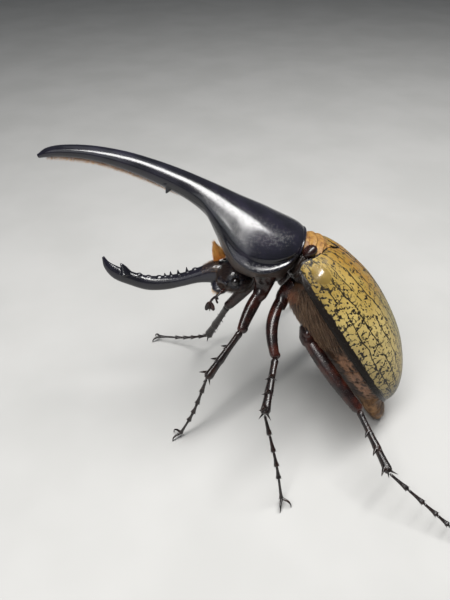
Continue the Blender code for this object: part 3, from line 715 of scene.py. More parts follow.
def wing_case_finish():
    """Olive-yellow shell with black marks, browner and greener in places, painted shade near the base and
    partly towards the suture, and a ragged black rim.
    """
    finish = Finish("wing_case_finish")
    flat = add_node(finish.tree, "ShaderNodeUVMap", uv_map=SHELL_MAP)("UV").scaled(SHELL_MAP_SPAN)
    pull = flat.noise(0.6, 4.0, 0.6, "Color").moved((-0.5, -0.5, -0.5)).scaled(3.2)
    across, along = maths("MODULO", flat.part("X"), SHELL_MAP_WRAP), flat.part("Y")
    bare = finish.attribute("bare")
    marks = wing_case_marks(flat, flat.moved(pull), across, along) * (1.0 - bare)

    ground = flat.noise(0.08, 4.0).mask(0.35, 0.65).mix((0.31, 0.22, 0.055), (0.47, 0.36, 0.12))
    warm = across.mask(17.0, 1.0) * flat.noise(0.25, 4.0).mask(0.2, 0.6)
    tones = (
        (flat.noise(2.4, 4.0, 0.7).mask(0.35, 0.7) * 0.4, (0.17, 0.12, 0.035)),
        (along.mask(16.0, 36.0) * 0.5, (0.36, 0.29, 0.135)),
        # darker and greener towards the suture: partly the case's own tone, partly painted shade
        (across.mask(14.0, 3.0) * 0.8, (0.15, 0.13, 0.028)),
        # darker towards the base: painted shade where the key light falls strongest
        (along.mask(22.0, 4.0) * 0.7, (0.21, 0.135, 0.026)),
        (warm * along.mask(36.0, 14.0) * 0.85, (0.28, 0.13, 0.012)),
        (along.mask(44.0, 60.0) * 0.6, (0.21, 0.175, 0.09)),
        (bare * 0.55, (0.13, 0.085, 0.025)),
        (marks, (0.008, 0.006, 0.004)),
    )
    for share, tone in tones:
        ground = share.mix(ground, tone)
    edge = (finish.attribute("rim") + (flat.noise(0.8, 4.0) - 0.5) * 1.2).mask(0.4, 0.6)
    finish.set("Base Color", edge.mix(ground, (0.01, 0.008, 0.007)))
    finish.set("Specular IOR Level", bare * 0.5 - edge * 0.3 + 0.42)
    finish.grain(0.35, 0.3, 0.3 - (edge * 0.12 + bare * 0.2), 0.16, 0.06, marks * -0.7)
    return finish.material


BLACK = black_cuticle()
LIMB = clouded_finish("limb_cuticle", 0.25, (0.38, 0.66), (0.007, 0.003, 0.003), (0.034, 0.008, 0.005),
                      0.6, 0.35, 0.16, 0.2, 0.05)
CLAW = clouded_finish("claw_cuticle", 0.5, (0.4, 0.7), (0.006, 0.004, 0.004), (0.016, 0.007, 0.005),
                      0.5, 0.4, 0.16, 0.2, 0.05)
PLATE = clouded_finish("plate_finish", 0.8, (0.35, 0.65), (0.09, 0.045, 0.012), (0.3, 0.18, 0.04),
                       0.4, 0.6, 0.32, 0.15, 0.05)
BELLY = belly_cuticle()
NECK_SKIN = neck_skin()
EYE = eye_finish()
WING_CASE = wing_case_finish()
FRINGE_HAIR = bristle_finish("fringe_hair", (0.2, 0.07, 0.015), (0.6, 0.3, 0.08))
TUFT_HAIR = bristle_finish("tuft_hair", (0.5, 0.15, 0.012), (0.74, 0.4, 0.11))
PALE_HAIR = bristle_finish("pale_hair", (0.5, 0.24, 0.06), (0.78, 0.55, 0.26))
BELLY_HAIR = bristle_finish("belly_hair", (0.015, 0.008, 0.004), (0.08, 0.044, 0.024), 0.6)
LOCK_HAIR = bristle_finish("lock_hair", (0.06, 0.03, 0.016), (0.42, 0.26, 0.15))
RED_HAIR = bristle_finish("red_hair", (0.07, 0.02, 0.008), (0.22, 0.08, 0.035))
BROWN_HAIR = bristle_finish("brown_hair", (0.012, 0.006, 0.004), (0.06, 0.026, 0.012))


# Bristles: one tree that plants curved tapered hairs over a guide surface.
def bristle_tree():
    tree = bpy.data.node_groups.new("bristles", "GeometryNodeTree")
    add_sockets(tree, "INPUT", "NodeSocketGeometry", "Geometry")
    add_sockets(tree, "INPUT", "NodeSocketFloat", "Density", "Length", "Width", "Uneven", "Lie", "Mess")
    add_sockets(tree, "INPUT", "NodeSocketInt", "Seed")
    add_sockets(tree, "INPUT", "NodeSocketMaterial", "Hair")
    add_sockets(tree, "OUTPUT", "NodeSocketGeometry", "Geometry")
    given = add_node(tree, "NodeGroupInput")
    lie, seed = given("Lie"), given("Seed")

    def named(label, kind="FLOAT"):
        return add_node(tree, "GeometryNodeInputNamedAttribute", {"Name": label}, data_type=kind)("Attribute")

    def store(geometry, label, value, kind="FLOAT", domain="POINT"):
        values = {"Geometry": geometry, "Name": label, "Value": value}
        return add_node(tree, "GeometryNodeStoreNamedAttribute", values, data_type=kind, domain=domain)()

    def vector(x, y, z):
        return add_node(tree, "ShaderNodeCombineXYZ", {"X": x, "Y": y, "Z": z})()

    # One hair of length 1, bent over from upright to the way that it lies.
    rise = 1.0 - lie * 0.85
    hair = add_node(tree, "GeometryNodeCurveQuadraticBezier", {
        "Resolution": 4, "Start": (0.0, 0.0, 0.0), "Middle": vector(lie * 0.22, 0.0, rise * 0.72),
        "End": vector(lie, 0.0, rise)})()
    reach = add_node(tree, "GeometryNodeSplineParameter")("Factor")
    thin = 1.0 - maths("POWER", reach, 1.6) * 0.9
    circle = add_node(tree, "GeometryNodeCurvePrimitiveCircle", {"Resolution": 3, "Radius": 0.5},
                      mode="RADIUS")()
    strand = add_node(tree, "GeometryNodeCurveToMesh", {
        "Curve": store(hair, "tip", reach), "Profile Curve": store(circle, "girth", reach),
        "Scale": thin * (given("Width") / given("Length")), "Fill Caps": True})()

    # Roots on the guide, and their combed turn.
    roots = add_node(tree, "GeometryNodeDistributePointsOnFaces", {
        "Mesh": given("Geometry"), "Density": given("Density") * named("thick"), "Seed": seed})
    rooted = store(roots("Points"), "root_at", named(BAKE_MAP, "FLOAT_VECTOR"), "FLOAT_VECTOR")
    stray = add_node(tree, "FunctionNodeRandomValue", {
        0: (-1.0, -1.0, -1.0), 1: (1.0, 1.0, 1.0), "Seed": seed}, data_type="FLOAT_VECTOR")()
    stray = stray.scaled(given("Mess"))
    lean = named("comb", "FLOAT_VECTOR").moved(stray)
    out = roots("Normal").moved(stray.scaled(0.5))
    upright = add_node(tree, "FunctionNodeAlignRotationToVector", {"Vector": out}, axis="Z")()
    turned = add_node(tree, "FunctionNodeAlignRotationToVector", {"Rotation": upright, "Vector": lean},
                      axis="X", pivot_axis="Z")()
    size = add_node(tree, "FunctionNodeRandomValue", {2: 1.0 - given("Uneven"), 3: 1.0, "Seed": seed + 7.0},
                    data_type="FLOAT")(1) * given("Length") * named("long")
    planted = add_node(tree, "GeometryNodeInstanceOnPoints", {
        "Points": rooted, "Instance": strand, "Rotation": turned, "Scale": vector(size, size, size)})()
    real = add_node(tree, "GeometryNodeRealizeInstances", {"Geometry": planted})()

    # Each hair is a small patch at its root's place on the map.
    patch = vector(named("tip") * TUFT_PATCH, named("girth") * TUFT_PATCH, 0.0)
    mapped = store(real, BAKE_MAP, named("root_at", "FLOAT_VECTOR").moved(patch), "FLOAT2", "CORNER")
    painted = add_node(tree, "GeometryNodeSetMaterial", {"Geometry": mapped, "Material": given("Hair")})()
    add_node(tree, "NodeGroupOutput", {"Geometry": painted})
    return tree


BRISTLES = bristle_tree()


def guide(name, place, surface, rows, columns):
    """A patch to plant hair on.

    surface(s, t) gives a point, the way that the hair is combed there, and how thick and long it grows.
    """
    points, combs, thick, long = [], [], [], []
    for s in spread(0.0, 1.0, rows):
        for t in spread(0.0, 1.0, columns):
            point, comb, density, length = surface(s, t)
            points.append(place @ point)
            combs.append((place.to_3x3() @ comb).normalized())
            thick.append(density)
            long.append(length)

    def on_map(i, j):
        return GUIDE_MARGIN + GUIDE_SPAN * j / (columns - 1), GUIDE_MARGIN + GUIDE_SPAN * i / (rows - 1)

    obj = sheet(name, points, columns, BAKE_MAP, on_map)
    keep_values(obj, "thick", thick)
    keep_values(obj, "long", long)
    layer = obj.data.attributes.new("comb", "FLOAT_VECTOR", "POINT")
    for index, comb in enumerate(combs):
        layer.data[index].vector = comb
    return obj


def coat(name, guides, finish, density, length, width, lie, mess, uneven, seed):
    """Hair over one or more guides; density is hairs in a square millimetre, sizes are in millimetres."""
    if len(guides) > 1:
        with bpy.context.temp_override(active_object=guides[0], selected_editable_objects=guides):
            bpy.ops.object.join()
    obj = guides[0]
    obj.name = name
    modifier = obj.modifiers.new("bristles", "NODES")
    modifier.node_group = BRISTLES
    keys = {item.name: item.identifier for item in BRISTLES.interface.items_tree
            if item.item_type == "SOCKET" and item.in_out == "INPUT"}
    values = {"Density": density / MM**2, "Length": length * MM, "Width": width * MM, "Uneven": uneven,
              "Lie": lie, "Mess": mess, "Seed": seed, "Hair": finish}
    for label, value in values.items():
        modifier[keys[label]] = value
    bake(obj)
    for label in ("comb", "thick", "long", "root_at", "girth"):
        if label in obj.data.attributes:
            obj.data.attributes.remove(obj.data.attributes[label])
    obj.data.shade_smooth()
    dress(obj, [])


def fur(name, place, surface, rows, columns, *hair):
    """Hair over one guide."""
    coat(name, [guide(f"{name}_guide", place, surface, rows, columns)], *hair)


# The shield with its long horn.
def shield_point(station, angle):
    """A point of the shield, and the middle of the cross-section that it is on."""
    top, low, half, level, sharp = section(SHIELD_ROWS, station)
    centre = top.lerp(low, level)
    rise, drop = (top - centre).length, (centre - low).length
    return oval_point(centre, SIDE, (top - low).normalized(), half, rise, drop, angle, 2.0, sharp), centre


def shield():
    """The shield, its rolled rim and its horn, with a pair of small teeth under the horn."""
    def form(station, angle):
        point, centre = shield_point(station, angle)
        above = abs(angle - pi) - pi / 2
        fade = step(5.2, station, station + 1.2) * step(station, 0.3, 1.0)
        roll = 0.4 + 0.7 * step(3.6, station, station + 1.6)
        bead = roll * (1.1 * hump(above, 0.01, 0.08) - 0.65 * hump(above, 0.2, 0.09))
        rear = hump(station, 0.07, 0.07) - hump(station, 0.24, 0.08)
        swell = bead * fade + 0.18 * rear * step(above, -0.1, 0.1)
        low_flank = step(0.35, cos(angle), 0.55) * step(7.5, station, station + 3.0)
        rough_edge = (1.0 - step(above, 0.3, 0.8)) * step(6.0, station, station + 2.0)
        under = (1.0 - step(above, -0.1, -0.02)) * step(5.6, station, station + 1.0)
        point += (point - centre).normalized() * swell
        return point, (max(0.6 * rough_edge, 0.45 * low_flank), under)

    stations = spread(0.0, 0.4, 9) + spread(0.46, 6.0, 62) + spread(6.1, 13.6, 76) + spread(13.65, 14.0, 8)
    rings, marks = skin(stations, FINE_RING_POINTS, form)
    shapes = [loft(rings)]
    for side, _ in SIDES:
        root = vec(-43.4, side * 2.3, 16.4)
        shapes.append(cone(root, root + vec(-0.8, side * 1.1, -2.2), 1.7, 16, vec(0.3, 0, 0.2)))
    piece = marked("shield_and_horn", joined(shapes), FORE, BLACK, ("pitted", "under"), marks)
    dress(piece, ["pronotum", "horn_thoracic", "horn_thoracic_tip"])


def horn_fringe():
    def under_horn(s, t):
        point, centre = shield_point(8.3 + 5.1 * s, radians(156 + 48 * t))
        thick = step(s, 0.0, 0.05) * step(1.0 - s, 0.0, 0.08)
        return point.lerp(centre, 0.06), vec(-0.8, 0, -0.4), thick, 0.6 + 0.5 * sin(pi * s)

    def under_base(s, t):
        point, centre = shield_point(5.6 + 2.9 * s, radians(164 + 32 * t))
        return point.lerp(centre, 0.05), vec(-0.6, 0, -0.8), 0.25, 0.5

    guides = [guide("fringe", FORE, under_horn, 90, 9), guide("fringe_base", FORE, under_base, 20, 7)]
    coat("horn_fringe", guides, FRINGE_HAIR, 24.0, 2.1, 0.1, 0.35, 0.3, 0.5, 11)


# The head with its lower horn.
def head_horn_point(station, angle, power=2.0):
    """A point of the head's horn; below station 0 the horn runs on straight into the head."""
    top, low, half = section(HEAD_HORN_ROWS, station)
    middle = (top + low) / 2 + vec(max(0.0, -station) * 4.0, 0, 0)
    reach = (top - low).length / 2
    return oval_point(middle, SIDE, (top - low).normalized(), half, reach, reach, angle, power)


def head_and_horn():
    """The head, and its horn with one large tooth, four small ones and low bumps between them."""
    shapes = [ball(HEAD_AT, HEAD_RADII)]
    shapes.append(loft([[head_horn_point(station, angle, 2.1) for angle in turns(36)]
                        for station in spread(-0.6, 9.0, 90)]))
    shapes.append(cone(vec(-60.5, 0, -16.6), vec(-61.9, 0, -12.8), 1.9, 18, vec(0.3, 0, 0.1)))
    for x, height in HORN_TEETH:
        top_z = -16.9 + (x - HORN_TEETH[0][0]) * 0.28
        shapes.append(cone(vec(x, 0, top_z - 0.9), vec(x - 0.3, 0, top_z + height), 0.85, 12))
    for x, rise in HORN_BUMPS:
        (top_z,) = sample([(-row[1], row[2]) for row in HEAD_HORN_ROWS], -x)
        shapes.append(ball(vec(x, 0, top_z - 0.5), vec(1.3, 0.9, 0.6 + rise)))
    for side, _ in SIDES:
        root = HEAD_AT + vec(-4.2, side * 3.9, 0.2)
        shapes.append(cone(root, root + vec(2.0, side * 3.7, 0.1), 1.5, 14))
        shapes.append(ball(HEAD_AT + vec(-5.2, side * 2.6, -4.2), vec(2.6, 1.7, 1.2)))
    shapes.append(ball(HEAD_AT + vec(-5.8, 0, -3.6), vec(2.6, 3.6, 1.5)))
    piece = fused("head_and_horn", shapes, FORE, BLACK, 0.2, 4)
    back = FORE.inverted()
    keep_values(piece, "pitted", [0.3 + 0.4 * step((back @ (vert.co / MM)).x, -60.0, -30.0)
                                  for vert in piece.data.vertices])
    dress(piece, ["head", "horn_cephalic"])


def eyes():
    for side, name in SIDES:
        shape = ball(eye_spot(side), Vector((EYE_RADIUS,) * 3), count=40, rings=26)
        dress(build(f"eye_lens_{name}", shape, FORE, EYE), [f"eye_{name}"])


def feelers():
    """Elbowed feelers with a club of three leaves."""
    for side, name in SIDES:
        base = HEAD_AT + vec(-3.2, side * 5.9, -2.4)
        ways = ((0, 0, 0), (-1.6, side * 1.9, -1.0), (-3.6, side * 2.4, -2.6), (-4.6, side * 2.2, -4.4))
        path = curve_points([base + Vector(way) for way in ways], 49)
        radii = [0.34 + 0.1 * abs(sin(pi * k / 8)) for k in range(49)]
        for k in range(12):
            radii[k] += 0.14 * sin(pi * k / 12)
        shapes = [tube(path, radii, 14, SIDE * side)]
        for k in range(3):
            lean = vec(-0.35 + 0.35 * k, 0, -1).normalized()
            centre = path[-1] + lean * 1.3 + vec(0.28 * (k - 1), 0, 0)
            turn = lean.to_track_quat("Z", "Y").to_matrix()
            shapes.append(ball(centre, vec(0.3, 0.85, 1.9), turn, 18, 14))
        dress(build(f"feeler_{name}", joined(shapes), FORE, LIMB), [f"antenna_{name}"])


def mouth():
    shapes = [ball(MOUTH_AT, vec(2.3, 3.3, 1.6))]
    for side, _ in SIDES:
        root = MOUTH_AT + vec(-0.8, side * 1.6, 0.2)
        shapes.append(cone(root, root + vec(-1.8, side * -1.1, -0.8), 0.8, 12))
        for offset, reach in ((1.2, 2.6), (2.4, 3.4)):
            root = MOUTH_AT + vec(-0.6, side * offset, -0.9)
            knots = (root, root + vec(-0.8, side * 0.6, -reach * 0.5), root + vec(-0.2, side * 0.9, -reach))
            radii = [0.28 + 0.14 * abs(sin(pi * k / 8)) for k in range(25)]
            shapes.append(tube(curve_points(knots, 25), radii, 12, SIDE))
    dress(fused("mouth_and_palps", shapes, FORE, LIMB, 0.12, 3), ["mouthparts"])


def face_hair():
    """The upright tuft on the brow, and the hair on the cheeks, round the mouth and on the horn's root."""
    def crown(s, t):
        x = 1.9 - 3.8 * s
        y = -1.6 + 3.2 * t
        middle = max(1.0 - (x / 2.1) ** 2 - (y / 1.8) ** 2, 0.0)
        return vec(x - 27.6, y, -8.6 + 0.4 * x), vec(-x, -y, 0.0), 1.0, 0.42 + 0.58 * middle

    def horn_root(s, t):
        point = head_horn_point(0.1 + 1.6 * s, radians(-70 + 140 * t))
        return point, vec(-1.0, 0, 0.5), 1.0 - 0.6 * s, 0.9 - 0.4 * s

    def lip(s, t):
        angle = radians(-80 + 160 * t)
        point = MOUTH_AT + vec(-2.2 * cos(angle), 3.2 * sin(angle), 0.9 - 1.6 * s)
        return point, vec(-0.7, 0, -0.7), 1.0, 1.0

    def cheek(s, t, side):
        angle = radians(110 - side * 90 + 140 * s)
        polar = radians(30 + 105 * t)
        point = HEAD_AT + ball_point(HEAD_RADII, polar, angle) * 1.02
        return point, vec(-1.0, 0, -0.4), step((point - eye_spot(side)).length, 2.1, 2.7), 1.0

    cheeks = [guide(f"cheek_{name}", FORE, lambda s, t: cheek(s, t, side), 24, 16) for side, name in SIDES]
    coat("cheek_hair", cheeks, BROWN_HAIR, 16.0, 1.7, 0.1, 0.6, 0.45, 0.5, 24)
    fur("brow_tuft", FORE, crown, 12, 12, TUFT_HAIR, 60.0, 8.0, 0.17, 0.12, 0.12, 0.2, 21)
    fur("horn_root_hair", FORE, horn_root, 10, 12, LOCK_HAIR, 34.0, 1.5, 0.1, 0.4, 0.4, 0.5, 22)
    fur("lip_hair", FORE, lip, 5, 14, PALE_HAIR, 16.0, 2.4, 0.1, 0.5, 0.35, 0.5, 23)


# The wing cases.
def base_edge(v):
    """Where a wing case starts, from the suture, v = 0, to its margin, v = 1."""
    notch = 3.0 * max(0.0, 1 - v / 0.14)
    corner = 3.4 * (max(0.0, v - 0.78) / 0.22) ** 2
    return 2.2 * (1 - v) ** 1.5 - 2.4 * v**1.1 + notch + corner


def shoulder(s, v):
    return hump(s, 3.8, 3.0) * hump(v, 0.7, 0.12)


def wing_point(share, v):
    """A point on a wing case: share runs from the base to the tip and v from the suture to the margin."""
    angle = v * ELYTRON_ARC
    start = base_edge(v)
    s = start + share * (ELYTRON_LENGTH - start)
    width, crest, margin = sample(ELYTRON_ROWS, s / ELYTRON_LENGTH)
    rim = 0.5 * max(0.0, (v - 0.9) / 0.1)
    y = SUTURE_GAP + (width - SUTURE_GAP + rim) * bulge(sin(angle), ELYTRON_POWER)
    z = margin + (crest - margin) * bulge(cos(angle), ELYTRON_POWER)
    swell = 1.6 * shoulder(s, v) + 0.35 * hump(s, 51.0, 4.5) * hump(v, 0.6, 0.16)
    swell -= 0.22 * hump(v, 0.045, 0.018) * step(share, 0.04, 0.2)
    swell -= 0.3 * hump(v, 0.925, 0.022)
    swell += 0.12 * hump(v, 0.965, 0.02)
    swell -= 0.35 * step(0.03, share, share + 0.025) * step(v, 0.0, 0.1)
    swell += 0.05 * sin(v * 22.0) * step(share, 0.1, 0.3) * step(1 - share, 0.02, 0.2)
    return vec(s, y + swell * sin(angle), z + swell * cos(angle)), s


def wing_case(side, side_name):
    rows, columns = 150, 96
    points, lengths, rim, bare = [], [], [], []
    for i in range(rows + 1):
        share = 0.5 - 0.5 * cos(pi * i / rows)
        for j in range(columns + 1):
            v = j / columns
            point, s = wing_point(share, v)
            points.append(HIND @ vec(point.x, side * point.y, point.z))
            lengths.append(s)
            rim.append(max(step(v, 0.9, 0.95), step(0.016, v, v + 0.012), step(0.011, share, share + 0.008)))
            bare.append(step(shoulder(s, v), 0.2, 0.5))

    def on_map(i, j):
        across = SHELL_MAP_WIDTH * j / columns + (0.0 if side < 0 else SHELL_MAP_NEXT)
        return across / SHELL_MAP_SPAN, lengths[i * (columns + 1) + j] / SHELL_MAP_SPAN

    obj = sheet(f"wing_case_{side_name}", points, columns + 1, SHELL_MAP, on_map, side > 0)
    obj.data.shade_smooth()
    obj.data.materials.append(WING_CASE)
    keep_values(obj, "rim", rim)
    keep_values(obj, "bare", bare)
    wall = obj.modifiers.new("wall", "SOLIDIFY")
    wall.thickness = ELYTRON_WALL * MM
    wall.offset = -1
    wall.use_even_offset = False
    bake(obj)
    dress(obj, [f"elytron_{side_name}"])


def scutellum():
    """The small three-cornered plate between the bases of the wing cases."""
    rings = []
    start, end = SCUTELLUM
    for share in spread(0.0, 1.0, 24):
        s = start + (end - start) * share
        crest = sample(ELYTRON_ROWS, s / ELYTRON_LENGTH)[1]
        half = 2.8 * (1 - share) ** 0.75 + 0.2
        rings.append([oval_point(vec(s, 0, crest - 0.4), SIDE, UP, half, 0.42 * (1 - 0.4 * share), 0.3,
                                 angle, 2.6) for angle in turns(24)])
    dress(build("scutellum_plate", loft(rings), HIND, PLATE), ["scutellum"])


# The underside.
def body_point(s, angle, grow=0.0):
    width, crest, margin = sample(ELYTRON_ROWS, s / ELYTRON_LENGTH)
    (low,) = sample(BELLY_ROWS, s)
    half = max(width - BODY_INSET, 1.0) + grow
    rise = max(crest - BODY_INSET - margin, 0.6) + grow
    drop = margin - low + grow
    return oval_point(vec(s, 0, margin), SIDE, UP, half, rise, drop, angle, ELYTRON_POWER, BELLY_POWER)


def tail_point(s, angle, grow=0.0):
    half, top, low = sample(TAIL_ROWS, s)
    middle = (top + low) / 2
    rise, drop = top - middle + grow, middle - low + grow
    return oval_point(vec(s, 0, middle), SIDE, UP, half + grow, rise, drop, angle)


def chest():
    """The hind chest: a broad middle plate, a seam down it, and side plates set off by grooves."""
    def form(s, angle):
        flank = abs(angle - pi)
        seam = 0.35 * hump(flank, 0.0, 0.05) + 0.45 * hump(flank, 0.95, 0.05)
        seam += 0.35 * hump(s - 8.0 * flank, 9.0, 0.6) * step(flank, 1.0, 1.1)
        ends = 0.5 * (hump(s, METASTERNUM_END, 0.7) + hump(s, CHEST_START, 0.7))
        swell = (0.3 * hump(flank, 0.45, 0.35) - seam) * max(0.0, -cos(angle)) ** 0.3
        # the middle mark is the dark edge under the wing cases' rim: partly dark cuticle, partly painted
        # shade
        marks = (0.15 * step(flank, 0.9, 1.2), step(flank, 1.3, 1.42), 0.0)
        return body_point(s, angle, swell - ends), marks

    rings, marks = skin(spread(CHEST_START, METASTERNUM_END, 60), RING_POINTS, form)
    piece = marked("hind_chest", loft(rings), HIND, BELLY, BELLY_MARKS, marks)
    dress(piece, ["pterothorax"])


def cut_at_floor(form):
    """Take off what is below the floor and close the cut."""
    parts = form.verts[:] + form.edges[:] + form.faces[:]
    bmesh.ops.bisect_plane(form, geom=parts, plane_co=(0, 0, 0), plane_no=UP, clear_inner=True, dist=1e-7)
    edge = [item for item in form.edges if item.is_boundary]
    bmesh.ops.holes_fill(form, edges=edge, sides=0)


def belly():
    """The abdomen: plates that overlap like tiles, pale soft skin at their outer ends, and the tail."""
    def plate(spot, angle):
        s, share = spot
        flank = abs(angle - pi)
        tile = 0.22 * step(share, 0.3, 0.94) - 0.42 * step(0.16, share, share + 0.16)
        tile -= 0.3 * step(share, 0.94, 1.0)
        pale = step(flank, 0.85, 1.0) * step(1.34, flank, flank + 0.08) * step(s, 28.0, 34.0)
        point = body_point(s, angle, tile - 0.5 * hump(flank, 1.12, 0.08))
        # the middle mark is the dark edge under the wing cases' rim: partly dark cuticle, partly painted
        # shade
        return point, (pale, step(flank, 1.3, 1.4), step(s, 50.0, 60.0))

    def tail(s, angle):
        tile = 0.25 * hump(s, 61.4, 0.5) - 0.4 * hump(s, 62.3, 0.4) - 0.2 * hump(s, 65.6, 0.35)
        return tail_point(s, angle, tile), (0.0, 0.0, 1.0)

    spots = [(start + (end - start) * share, share) for start, end in zip(PLATE_ENDS, PLATE_ENDS[1:])
             for share in (0.0, 0.06, 0.14, 0.3, 0.5, 0.7, 0.86, 0.94, 0.98)]
    rings, marks = skin(spots, RING_POINTS, plate)
    tail_rings, tail_marks = skin(spread(TAIL_ROWS[0][0], TAIL_ROWS[-1][0], 26), RING_POINTS, tail)
    shape = loft(rings + tail_rings)
    piece = marked("belly_plates", shape, HIND, BELLY, BELLY_MARKS, marks + tail_marks)
    dress(piece, ["abdomen"])
    edit(piece.data, cut_at_floor)


def waist_ends():
    """The two ends of the neck skin: centre, side, up, half width, rise and drop."""
    fore, hind = FORE.to_3x3(), HIND.to_3x3()
    top, low, *_ = section(SHIELD_ROWS, 0.0)
    face = fore @ (top - low).normalized()
    away = (fore @ SIDE).cross(face).normalized()
    if away.dot(hind @ vec(1, 0, 0)) < 0:
        away = -away
    return ((FORE @ top.lerp(low, 0.38) - away * 0.3, fore @ SIDE, face, 7.4, 6.6, 6.0),
            (HIND @ vec(CHEST_START + 0.3, 0, -15.2), hind @ SIDE, hind @ UP, 12.6, 9.6, 5.6))


def waist_point(ends, share, angle):
    mixed = [a.lerp(b, share) if isinstance(a, Vector) else a + (b - a) * share for a, b in zip(*ends)]
    centre, side, up, half, rise, drop = mixed
    swell = sin(pi * share)
    fold = 0.3 * sin(share * 27 + 1.2 * sin(2 * angle)) + 0.12 * sin(share * 61 + 5 * angle)
    grow = fold * swell ** 0.5 - 0.15
    return oval_point(centre, side.normalized(), up.normalized(), half + 2.2 * swell + grow,
                      rise + 1.4 * swell + grow, drop + grow, angle)


def waist():
    """The creased skin between the shield and the wing cases, with a hard round knob on each side."""
    ends = waist_ends()

    def form(share, angle):
        return waist_point(ends, share, angle), (step(min(angle, tau - angle), 0.75, 1.05),)

    def nape(s, t):
        point = waist_point(ends, 0.08 + 0.7 * s, radians(-58 + 116 * t))
        return point, vec(0.6, 0, -0.5), 1.0 - 0.6 * s, 1.0 - 0.4 * s

    rings, marks = skin(spread(0.0, 1.0, 64), FINE_RING_POINTS, form)
    piece = marked("waist_skin", loft(rings), WORLD, NECK_SKIN, ("flank",), marks)
    dress(piece, ["neck"])
    knobs = [ball(vec(-2.2, -9.9, -10.4), vec(1.85, 2.35, 2.45)),
             ball(vec(-1.6, 8.4, -12.4), vec(1.6, 2.0, 2.1))]
    dress(build("waist_knobs", joined(knobs), HIND, LIMB), ["neck"])
    fur("neck_hair", WORLD, nape, 16, 30, PALE_HAIR, 5.0, 1.4, 0.07, 0.45, 0.4, 0.5, 61)


def belly_hair():
    """Fur on the underside, thickest beside the middle, with paler locks, and a red tuft behind the hips."""
    def chest_skin(s, t):
        point = body_point(CHEST_START + 0.5 + (METASTERNUM_END - CHEST_START - 1.0) * s,
                           radians(262 - 164 * t), -0.1)
        side = abs(t - 0.5) * 2
        part = 0.75 + 0.25 * sin(9.0 * side + 3.0 * s)
        return point, vec(1, 0, -0.1), (0.35 + 0.65 * step(side, 0.1, 0.6)) * part, 0.7 + 0.5 * side

    def belly_skin(s, t):
        point = body_point(28.0 + 27.0 * s, radians(252 - 144 * t), -0.1)
        plate = 0.5 + 0.5 * sin(s * 27.0 / 4.9 * tau)
        return point, vec(1, 0, -0.1), 0.15 + 0.5 * plate * abs(t - 0.5) * 2, 0.7

    def tail_skin(s, t):
        start, end = TAIL_ROWS[0][0] + 1.0, TAIL_ROWS[-1][0]
        point = tail_point(start + (end - start) * s, radians(245 - 310 * t))
        clear = step((FLOOR @ HIND @ point).z, 2.0, 3.0)
        return point, vec(1, 0, -0.05), clear, 0.6 + 0.6 * s

    def hip_skin(s, t):
        thick = step(s, 0.0, 0.3) * step(1.0 - s, 0.0, 0.4) * step(t, 0.0, 0.3) * step(1.0 - t, 0.0, 0.3)
        point = body_point(CHEST_START + 0.2 + 4.5 * s, radians(242 - 44 * t))
        return point, vec(0.6, -0.5, -0.6), thick, 0.7 + 0.4 * s

    fur("tail_hair", HIND, tail_skin, 20, 40, LOCK_HAIR, 6.0, 1.3, 0.07, 0.75, 0.3, 0.4, 45)
    fur("chest_hair", HIND, chest_skin, 30, 40, BELLY_HAIR, 8.0, 2.6, 0.09, 0.82, 0.3, 0.5, 41)
    fur("chest_locks", HIND, chest_skin, 30, 40, LOCK_HAIR, 2.2, 4.4, 0.13, 0.88, 0.2, 0.5, 44)
    fur("belly_hair", HIND, belly_skin, 40, 40, BELLY_HAIR, 5.0, 1.6, 0.08, 0.85, 0.3, 0.4, 42)
    fur("hip_tuft", HIND, hip_skin, 12, 12, RED_HAIR, 11.0, 3.6, 0.1, 0.5, 0.5, 0.5, 43)


# Legs.
def hip(name, pair, coxa_at, radii, turn, thigh, reach):
    """The ball of the hip, in a mound that rises from the body to the start of the thigh."""
    depth, narrow, size = (1.6, 0.7, 0.7) if pair == "hind" else (0.4, 1.0, 0.85)
    up = turn @ UP
    sunk = up * depth
    girth = (radii.x + radii.y) / 2 * narrow
    collar = FEMUR_RADIUS[pair] * 1.12
    path = (up * 6.0, up * 3.6, up * 1.4, thigh * (reach - 1.6) + sunk * 0.3, thigh * (reach + 0.2),
            thigh * (reach + 2.4))
    widths = (girth * 1.5, girth * 1.25, girth, max(girth * 0.8, collar), collar * 0.95, collar * 0.6)
    mound = tube([coxa_at + way for way in path], widths, 32, turn @ SIDE)
    socket = ball(coxa_at + sunk, radii * size, turn, 36, 24)
    dress(fused(f"{name}_hip", [socket, mound], FLOOR, LIMB, 0.25, 10), [f"{name}_coxa"])


